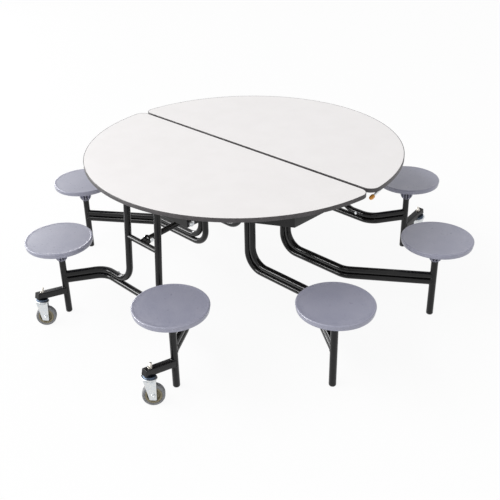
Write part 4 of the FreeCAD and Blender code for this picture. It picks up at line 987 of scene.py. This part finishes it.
def raceway_profile():
    """Pressed cup above the fork: a rounded lip, then a groove in which the balls run."""
    lip = corner_arc((RACEWAY_RADIUS - RACEWAY_ROUND, -RACEWAY_ROUND), RACEWAY_ROUND, 90, 0)
    groove = corner_arc((RACEWAY_RADIUS + 0.0004, -0.0052), 0.0016, 115, 245)
    foot = [(RACEWAY_RADIUS - 0.0004, -RACEWAY_HEIGHT), (0.0, -RACEWAY_HEIGHT)]
    return np.concatenate([[(0.0, 0.0)], lip, groove, foot])


def rivet_profile():
    """Stem that goes on through the fork's crown, and the rivet's head that holds it."""
    return [(0.0, -RACEWAY_HEIGHT), (STEM_RADIUS, -RACEWAY_HEIGHT), (STEM_RADIUS, RIVET_TOP),
            (RIVET_RADIUS, RIVET_TOP), (RIVET_RADIUS, RIVET_BOTTOM), (0.0, RIVET_BOTTOM)]


for side, place in SIDES.items():
    body = side + "_leg_frame"
    arms, bolts, raceways = Surface(), Surface(), Surface()
    for post in LEG_POSTS:
        box_tube = plate(ARM_SECTION, ARM_OVERLAP, ARM_LENGTH, ARM_BEVEL)
        arms.grid(place(seated(box_tube, arm_start(post), X_AXIS, ARM_UP, ARM_ALONG)))
        arm_weld(arms, post, place)
        washer_top = ARM_WIDTH + WASHER_HEIGHT
        for rows in (nut(STEM_NUT_FLATS, washer_top, ARM_WIDTH + STEM_NUT_HEIGHT),
                     plate(circle(WASHER_RADIUS), ARM_WIDTH, washer_top, WASHER_BEVEL),
                     thread(STEM_RADIUS, ARM_WIDTH, STEM_END)):
            bolts.grid(place(at_caster(rows, post)))
        for rows in (lathe(raceway_profile()), lathe(rivet_profile(), 32)):
            raceways.grid(place(at_caster(rows, post)))
    arms.place(side + "_caster_box_arms", body, "black_powder_coat", [side + "_caster_arms"])
    bolts.place(side + "_caster_nuts", body, "zinc", [side + "_caster_stems"], WARM_ZINC)
    raceways.place(side + "_caster_raceways", body, "zinc", finish=BLUE_ZINC)

# %% Forks
SHEET = 0.003
CROWN_RADIUS = 0.035
CROWN_FOOT_RADIUS = 0.027
CROWN_HEIGHT = 0.015
CROWN_SHOULDER = 0.003
CROWN_TOP = -RACEWAY_HEIGHT - RUNNING_GAP
CROWN_BORE = 0.0065
CHEEK_INNER = 0.016
CHEEK_OUTER = CHEEK_INNER + SHEET
CHEEK_TOP_HALF = 0.028
CHEEK_FOOT_HALF = 0.015
CHEEK_FOOT_DROP = 0.021
CHEEK_ROUNDS = [0.001, 0.005, 0.005, 0.001]
CHEEK_BEVEL = 0.0007
AXLE_RADIUS = 0.005
AXLE_NUT_FLATS = 0.015
AXLE_NUT_HEIGHT = 0.006
AXLE_WASHER_RADIUS = 0.0092
BOLT_END = np.array([(0, 0), (0.0042, 0), (0.0042, 0.0068), (0.0036, 0.0076), (0, 0.0079)])


def crown_profile():
    """Pressed cup, seen in section: a rounded shoulder, then walls that draw in to the foot."""
    bottom = CROWN_TOP - CROWN_HEIGHT
    shoulder_centre = (CROWN_RADIUS - CROWN_SHOULDER, CROWN_TOP - CROWN_SHOULDER)
    shoulder = corner_arc(shoulder_centre, CROWN_SHOULDER, 90, 0, 8)
    foot = [(CROWN_FOOT_RADIUS, bottom + EDGE), (CROWN_FOOT_RADIUS - EDGE, bottom),
            (CROWN_FOOT_RADIUS - SHEET, bottom)]
    inside = [(CROWN_RADIUS - 2 * SHEET, CROWN_TOP - SHEET), (CROWN_BORE, CROWN_TOP - SHEET)]
    return np.concatenate([[(CROWN_BORE, CROWN_TOP)], shoulder, foot, inside])


def cheek_outline():
    """Side plate of the fork in (trail, stem): wide under the crown, narrower below the axle."""
    top, foot = CROWN_TOP - SHEET, -WHEEL_DROP - CHEEK_FOOT_DROP
    corners = [(-CHEEK_TOP_HALF, top), (CASTER_TRAIL - CHEEK_FOOT_HALF, foot),
               (CASTER_TRAIL + CHEEK_FOOT_HALF, foot), (CHEEK_TOP_HALF, top)]
    return rounded_outline(corners, CHEEK_ROUNDS)


def add_fork(surface, post, place):
    """Crown, two cheeks, and the axle with a washer, a nut and a bolt end outside each cheek."""
    surface.grid(place(at_caster(lathe(crown_profile()), post)), ends="loop")
    washer_top = CHEEK_OUTER + WASHER_HEIGHT
    for hand in (-1, 1):
        cheek = plate(cheek_outline(), 0, SHEET, CHEEK_BEVEL)
        origin = stem_seat(post) + AXLE_AXIS * hand * CHEEK_INNER
        surface.grid(place(seated(cheek, origin, TRAIL_AXIS, ARM_UP, AXLE_AXIS * hand)))
        for rows in (plate(circle(AXLE_WASHER_RADIUS), CHEEK_OUTER, washer_top, WASHER_BEVEL),
                     nut(AXLE_NUT_FLATS, washer_top, CHEEK_OUTER + AXLE_NUT_HEIGHT),
                     lathe(BOLT_END + (0, CHEEK_OUTER), 24)):
            surface.grid(place(at_wheel(rows * np.array([1, 1, hand]), post)))
    axle = [(0, -CHEEK_OUTER), (AXLE_RADIUS, -CHEEK_OUTER), (AXLE_RADIUS, CHEEK_OUTER), (0, CHEEK_OUTER)]
    surface.grid(place(at_wheel(lathe(axle, 32), post)))


# %% Wheels
WHEEL_RADIUS = 0.048
WHEEL_HALF_WIDTH = 0.015
TREAD_FILLET = 0.006
TREAD_POINTS = 96
CORE_RADIUS = 0.036
CORE_RIM = 0.028
CORE_WEB = 0.004
CORE_BORE = AXLE_RADIUS + 0.0003
CORE_POINTS = 72
HUB = 0.013


def both_sides(right):
    """Profile of a wheel from its right half: the same points again, mirrored, in return."""
    right = np.array(right)
    return np.concatenate([right, right[::-1] * np.array([1, -1])])


def tread_profile():
    """Tread in (radius, sideways): rounded shoulders, a shallow moulded step on each side wall."""
    half, rim = WHEEL_HALF_WIDTH, CORE_RADIUS
    shoulder = corner_arc((WHEEL_RADIUS - TREAD_FILLET, half - TREAD_FILLET), TREAD_FILLET, 0, 80, 9)
    wall = [(rim + 0.0054, half - 0.0001), (rim + 0.0046, half - 0.0009), (rim + 0.0014, half - 0.0009),
            (rim + 0.0008, half), (rim, half - 0.0003)]
    return both_sides([*shoulder, *wall])


def core_profile():
    """Core in (radius, sideways): rounded rim, a sloped recess down to the web, and the hub."""
    half, web, bore = WHEEL_HALF_WIDTH, CORE_WEB, CORE_BORE
    return both_sides([
        (CORE_RADIUS - 0.0002, half - 0.0012), (CORE_RADIUS - 0.0012, half - 0.0002),
        (CORE_RIM + 0.0012, half), (CORE_RIM + 0.0002, half - 0.0008),
        (CORE_RIM - 0.0012, web + 0.0020), (CORE_RIM - 0.0030, web),
        (HUB + 0.0035, web), (HUB + 0.0015, web + 0.0015), (HUB, half - 0.0010),
        (HUB - 0.0010, half), (bore + 0.0025, half), (bore + 0.0022, half - 0.0008),
        (bore, half - 0.0008)])


for hand, other, post in (("left", "right", LEG_POSTS[0]), ("right", "left", LEG_POSTS[1])):
    for name, place in (("near_" + hand, SIDES["near"]), ("far_" + other, SIDES["far"])):
        fork, tread, core = Surface(), Surface(), Surface()
        add_fork(fork, post, place)
        fork.place("caster_yoke_" + name, "fork_" + name, "zinc", ["caster_fork_" + name])
        tread.grid(place(at_wheel(lathe(tread_profile(), TREAD_POINTS), post)), ends="loop")
        tread.place("wheel_tread_" + name, "wheel_" + name, "tread_rubber", ["caster_tread_" + name])
        core.grid(place(at_wheel(lathe(core_profile(), CORE_POINTS), post)), ends="loop")
        core.place("wheel_core_" + name, "wheel_" + name, "wheel_core", ["caster_core_" + name])
print("made four casters, each with a wheel of radius", WHEEL_RADIUS)

# %% [markdown]
# ## Folded rails, link bars and the release lever
# A wing rail is one strip of sheet folded to an angle: a web that hangs down and a flange under
# the top. Its section is carried along its plan, which bends once. The link bars are flat tubes
# with an eye at each end. The lever is a bent rod with a soft grip.

# %% Wing rails
RAIL_THICKNESS = 0.003
RAIL_DEPTH = 0.058
RAIL_FLANGE = 0.028
RAIL_ROUNDS = [0.0008, 0.0008, 0.0015, 0.0008, 0.0008, 0.0042]
SIDE_RAIL_X = 0.325
WING_PLAN = [(SIDE_RAIL_X, -0.528), (0.646, -0.351), (0.646, -0.045)]
LEVER_Y = 0.200
LEVER_Z = 0.690
LEVER_RADIUS = 0.005
LEVER_HOLE = LEVER_RADIUS + 0.0004
DRILL_START, DRILL_END = 0.60, 0.69


def rail_section():
    """Angle section in (inwards, up): web on the left, flange at the top, rounded fold."""
    depth, sheet, flange = RAIL_DEPTH, RAIL_THICKNESS, RAIL_FLANGE
    corners = [(0, 0), (sheet, 0), (sheet, depth - sheet), (flange, depth - sheet), (flange, depth),
               (0, depth)]
    return rounded_outline(corners, RAIL_ROUNDS)


def wing_rail(hand):
    """Rail of one side, mitred at its fold. There its section stands on the line that halves the
    corner, (n1 + n2) / (1 + n1.n2) from the inward normals n1 and n2 of the two runs. The first
    row slides along the rail until it lies on the side rail's face, so that the end fits flat."""
    plan = np.array(WING_PLAN)
    ahead = unit(np.diff(plan, axis=0))
    inward = np.stack([-ahead[:, 1], ahead[:, 0]], axis=1)
    mitre = (inward[0] + inward[1]) / (1 + inward[0] @ inward[1])
    section = rail_section()
    height = section[:, 1] + UNDERSIDE - RAIL_DEPTH
    rows = np.array([np.column_stack([point + section[:, :1] * side, height])
                     for point, side in zip(plan, (inward[0], mitre, inward[1]))])
    rows[0, :, :2] += ahead[0] * ((SIDE_RAIL_X + WELD_GAP - rows[0][:, :1]) / ahead[0, 0])
    return rows * np.array([hand, 1, 1])


def drill(piece, start, end, radius):
    """Cut a round hole along a line: a closed rod is taken away with an exact boolean, and the
    result becomes the piece's own mesh."""
    rod = Surface()
    rod.grid(carry(np.array([start, end]), circle(radius), Z_AXIS))
    cutter = bpy.data.objects.new("drill", rod.mesh("drill"))
    bpy.context.scene.collection.objects.link(cutter)
    cut = piece.modifiers.new("hole", "BOOLEAN")
    cut.object = cutter
    cut.operation = "DIFFERENCE"
    cut.solver = "EXACT"
    bpy.context.view_layer.update()
    drilled = bpy.data.meshes.new_from_object(piece.evaluated_get(bpy.context.evaluated_depsgraph_get()))
    piece.modifiers.clear()
    piece.data = drilled
    bpy.data.objects.remove(cutter)


for side, place in SIDES.items():
    rails = Surface()
    for hand in (-1, 1):
        rails.grid(place(wing_rail(hand)))
    wings = rails.place(side + "_folded_wings", side + "_half", "black_powder_coat",
                        [side + "_wing_rails"])
    if side == "far":
        drill(wings, (DRILL_START, LEVER_Y, LEVER_Z), (DRILL_END, LEVER_Y, LEVER_Z), LEVER_HOLE)

# %% Link bars
LINK_WIDTH = 0.022
LINK_DEPTH = 0.020
LINK_CORNER = 0.0028
LINK_BEVEL = 0.0004
LINK_LEG = np.array([0.0, -0.603, 0.472])
LINK_CENTRE = LINK_LEG + np.array([0.0, 0.500, 0.029])
LINK_ENDS = ((LINK_LEG, 0.00005), (LINK_CENTRE, 0.0003))
PIN_RADIUS = 0.006
EYE_OVERLAP = 0.0024


def eye_profile(clearance):
    """Ring of a link's eye in (radius, sideways)."""
    inner, outer, half = PIN_RADIUS + clearance, LINK_DEPTH / 2, LINK_WIDTH / 2
    return [(inner, -half), (outer - EDGE, -half), (outer, EDGE - half),
            (outer, half - EDGE), (outer - EDGE, half), (inner, half)]


for side, place in SIDES.items():
    bar = Surface()
    ahead = unit(LINK_CENTRE - LINK_LEG)
    over = np.cross(ahead, X_AXIS)
    length = float(np.linalg.norm(LINK_CENTRE - LINK_LEG))
    wall = LINK_DEPTH / 2 - EYE_OVERLAP
    tube_box = plate(rounded_box(LINK_WIDTH, LINK_DEPTH, LINK_CORNER), wall, length - wall, LINK_BEVEL)
    bar.grid(place(seated(tube_box, LINK_LEG, X_AXIS, over, ahead)))
    for eye, clearance in LINK_ENDS:
        ring = lathe(eye_profile(clearance), 48)
        bar.grid(place(seated(ring, eye, ahead, over, X_AXIS)), ends="loop")
    bar.place(side + "_link_tube", side + "_link_bar", "black_powder_coat", [side + "_link"])
print("link bars", round(length, 4), "from pin to pin")

# %% Release lever
LEVER_CRANK_X = 0.702
LEVER_BEND = 0.018
LEVER_TIP = np.array([0.7076, 0.065, 0.660])
LEVER_POINTS = 28
ROD_SHORT_OF_TIP = 0.008
PAWL_TIP = (0.135, 0.671)
PAWL_THICKNESS = 0.0048
PAWL_HALF_WIDTH = 0.005
PAWL_CORNER = 0.0049
PAWL_BEVEL = 0.0004
BOSS_RADIUS = 0.010
BOSS_BEVEL = 0.0005
lever_low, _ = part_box("release_lever")
lever_end = (lever_low.x, LEVER_Y, LEVER_Z)

crank = np.array([LEVER_CRANK_X, LEVER_Y, LEVER_Z])
pull = unit(LEVER_TIP - crank)
rod_route = rounded_route([lever_end, crank, LEVER_TIP - pull * ROD_SHORT_OF_TIP], [LEVER_BEND])
reach = np.array(PAWL_TIP) - np.array([LEVER_Y, LEVER_Z])
ahead = unit(reach) * PAWL_HALF_WIDTH
aside = np.array([-ahead[1], ahead[0]])
pawl_corners = [aside - ahead, -aside - ahead, reach - aside + ahead, reach + aside + ahead]
pawl = plate(rounded_outline(pawl_corners, [PAWL_CORNER] * 4), 0, PAWL_THICKNESS, PAWL_BEVEL)
boss = plate(circle(BOSS_RADIUS), 0, PAWL_THICKNESS, BOSS_BEVEL)
lever = Surface()
lever.grid(carry(rod_route, circle(LEVER_RADIUS, LEVER_POINTS), Z_AXIS))
for rows in (pawl, boss):
    lever.grid(seated(rows, lever_end, Y_AXIS, Z_AXIS, X_AXIS))
lever.place("lever_rod", "lever", "zinc", ["release_lever"])

# %% Lever grip
GRIP_LENGTH = 0.026
GRIP_DOME = 0.0088
GRIP_RADIUS = 0.0091
GRIP_SWELL = 0.0005
GRIP_POINTS = 40


def grip_profile():
    """Dipped grip in (radius, distance from the tip): a domed end, a slow swell that follows half
    a sine wave, and a rolled mouth."""
    dome = corner_arc((0.0, GRIP_DOME), GRIP_DOME, -90, -12, 9)
    along = np.linspace(0.0105, GRIP_LENGTH - 0.003, 9)
    swell = np.stack([GRIP_RADIUS + GRIP_SWELL * np.sin(np.pi * along / GRIP_LENGTH), along], axis=1)
    mouth = [(0.0096, GRIP_LENGTH - 0.0020), (0.0093, GRIP_LENGTH - 0.0006), (0.0085, GRIP_LENGTH),
             (0.0, GRIP_LENGTH)]
    return np.concatenate([dome, swell, mouth])


grip = Surface()
grip_side = unit(np.cross(pull, Z_AXIS))
grip_rows = lathe(grip_profile(), GRIP_POINTS)
grip.grid(seated(grip_rows, LEVER_TIP, grip_side, np.cross(-pull, grip_side), -pull))
grip.place("lever_soft_grip", "lever", "orange_grip", ["lever_grip"])

# %% [markdown]
# ## Floor, light and background
# A plain pale floor and soft light from all round let the colours read as they are. One large
# softbox adds a direction, and two low cards only draw their bright lines along the tubes. The
# world and the floor show a little brighter to the camera than they light, so the background is
# white while the soft shadow under the table stays.

# %% Floor and light
LIGHT_LEVEL = 0.555
# Direction, distance, size and power of each box of light.
SOFTBOXES = {
    "key": ((-0.35, -0.75, 1.0), 14.0, (16.0, 4.0), 1150.0),
    "left_card": ((-0.70, -0.68, 0.26), 9.0, (8.0, 2.6), 1100.0),
    "back_card": ((-0.97, 0.10, 0.24), 9.0, (4.5, 2.2), 380.0),
}
FLOOR_SIZE = 40.0
FLOOR_WHITE = 0.95
FLOOR_ROUGHNESS = 0.7
FLOOR_SHOW = 0.92


def sees_background(tree):
    """1 for camera, glossy and transmission rays, 0 for rays that carry light."""
    path = tree.nodes.new("ShaderNodeLightPath")
    seen = path.outputs["Is Camera Ray"]
    for ray in ("Is Glossy Ray", "Is Transmission Ray"):
        either = tree.nodes.new("ShaderNodeMath")
        either.operation = "MAXIMUM"
        tree.links.new(seen, either.inputs[0])
        tree.links.new(path.outputs[ray], either.inputs[1])
        seen = either.outputs[0]
    return seen


def make_world():
    """White surroundings that light at LIGHT_LEVEL and show at full white."""
    world = bpy.data.worlds.new("studio")
    world.use_nodes = True
    tree = world.node_tree
    background = tree.nodes["Background"]
    background.inputs["Color"].default_value = (1.0, 1.0, 1.0, 1.0)
    level = tree.nodes.new("ShaderNodeMapRange")
    level.inputs["To Min"].default_value = LIGHT_LEVEL
    level.inputs["To Max"].default_value = 1.0
    tree.links.new(sees_background(tree), level.inputs["Value"])
    tree.links.new(level.outputs["Result"], background.inputs["Strength"])
    bpy.context.scene.world = world


def make_floor():
    """Pale floor. Seen directly, part of it glows at white, which keeps only a soft shadow."""
    mesh = bpy.data.meshes.new("floor")
    half = FLOOR_SIZE / 2
    corners = [(-half, -half, 0), (half, -half, 0), (half, half, 0), (-half, half, 0)]
    mesh.from_pydata(corners, [], [(0, 1, 2, 3)])
    floor = bpy.data.objects.new("floor", mesh)
    bpy.context.scene.collection.objects.link(floor)
    material = bpy.data.materials.new("pale_floor")
    material.use_nodes = True
    tree = material.node_tree
    shader = tree.nodes["Principled BSDF"]
    shader.inputs["Base Color"].default_value = (FLOOR_WHITE, FLOOR_WHITE, FLOOR_WHITE, 1.0)
    shader.inputs["Roughness"].default_value = FLOOR_ROUGHNESS
    glow = tree.nodes.new("ShaderNodeEmission")
    glow.inputs["Strength"].default_value = 1.0
    share = tree.nodes.new("ShaderNodeMath")
    share.operation = "MULTIPLY"
    share.inputs[1].default_value = FLOOR_SHOW
    blend = tree.nodes.new("ShaderNodeMixShader")
    tree.links.new(sees_background(tree), share.inputs[0])
    tree.links.new(share.outputs[0], blend.inputs["Fac"])
    tree.links.new(shader.outputs[0], blend.inputs[1])
    tree.links.new(glow.outputs[0], blend.inputs[2])
    tree.links.new(blend.outputs[0], tree.nodes["Material Output"].inputs["Surface"])
    mesh.materials.append(material)


def make_softboxes():
    """Boxes of light, far off. The key lights the table from the camera's left. The two cards are
    low and only mirrored, so each draws a bright line along the tubes and lights no matt face."""
    for name, (direction, distance, (width, height), power) in SOFTBOXES.items():
        lamp = bpy.data.lights.new(name, "AREA")
        lamp.shape = "RECTANGLE"
        lamp.size, lamp.size_y = width, height
        lamp.energy = power
        box = bpy.data.objects.new(name, lamp)
        toward = Vector(direction).normalized()
        box.location = toward * distance
        box.rotation_euler = toward.to_track_quat("Z", "Y").to_euler()
        box.visible_diffuse = not name.endswith("card")
        bpy.context.scene.collection.objects.link(box)


make_world()
make_floor()
make_softboxes()
bpy.context.scene.view_settings.view_transform = "Standard"
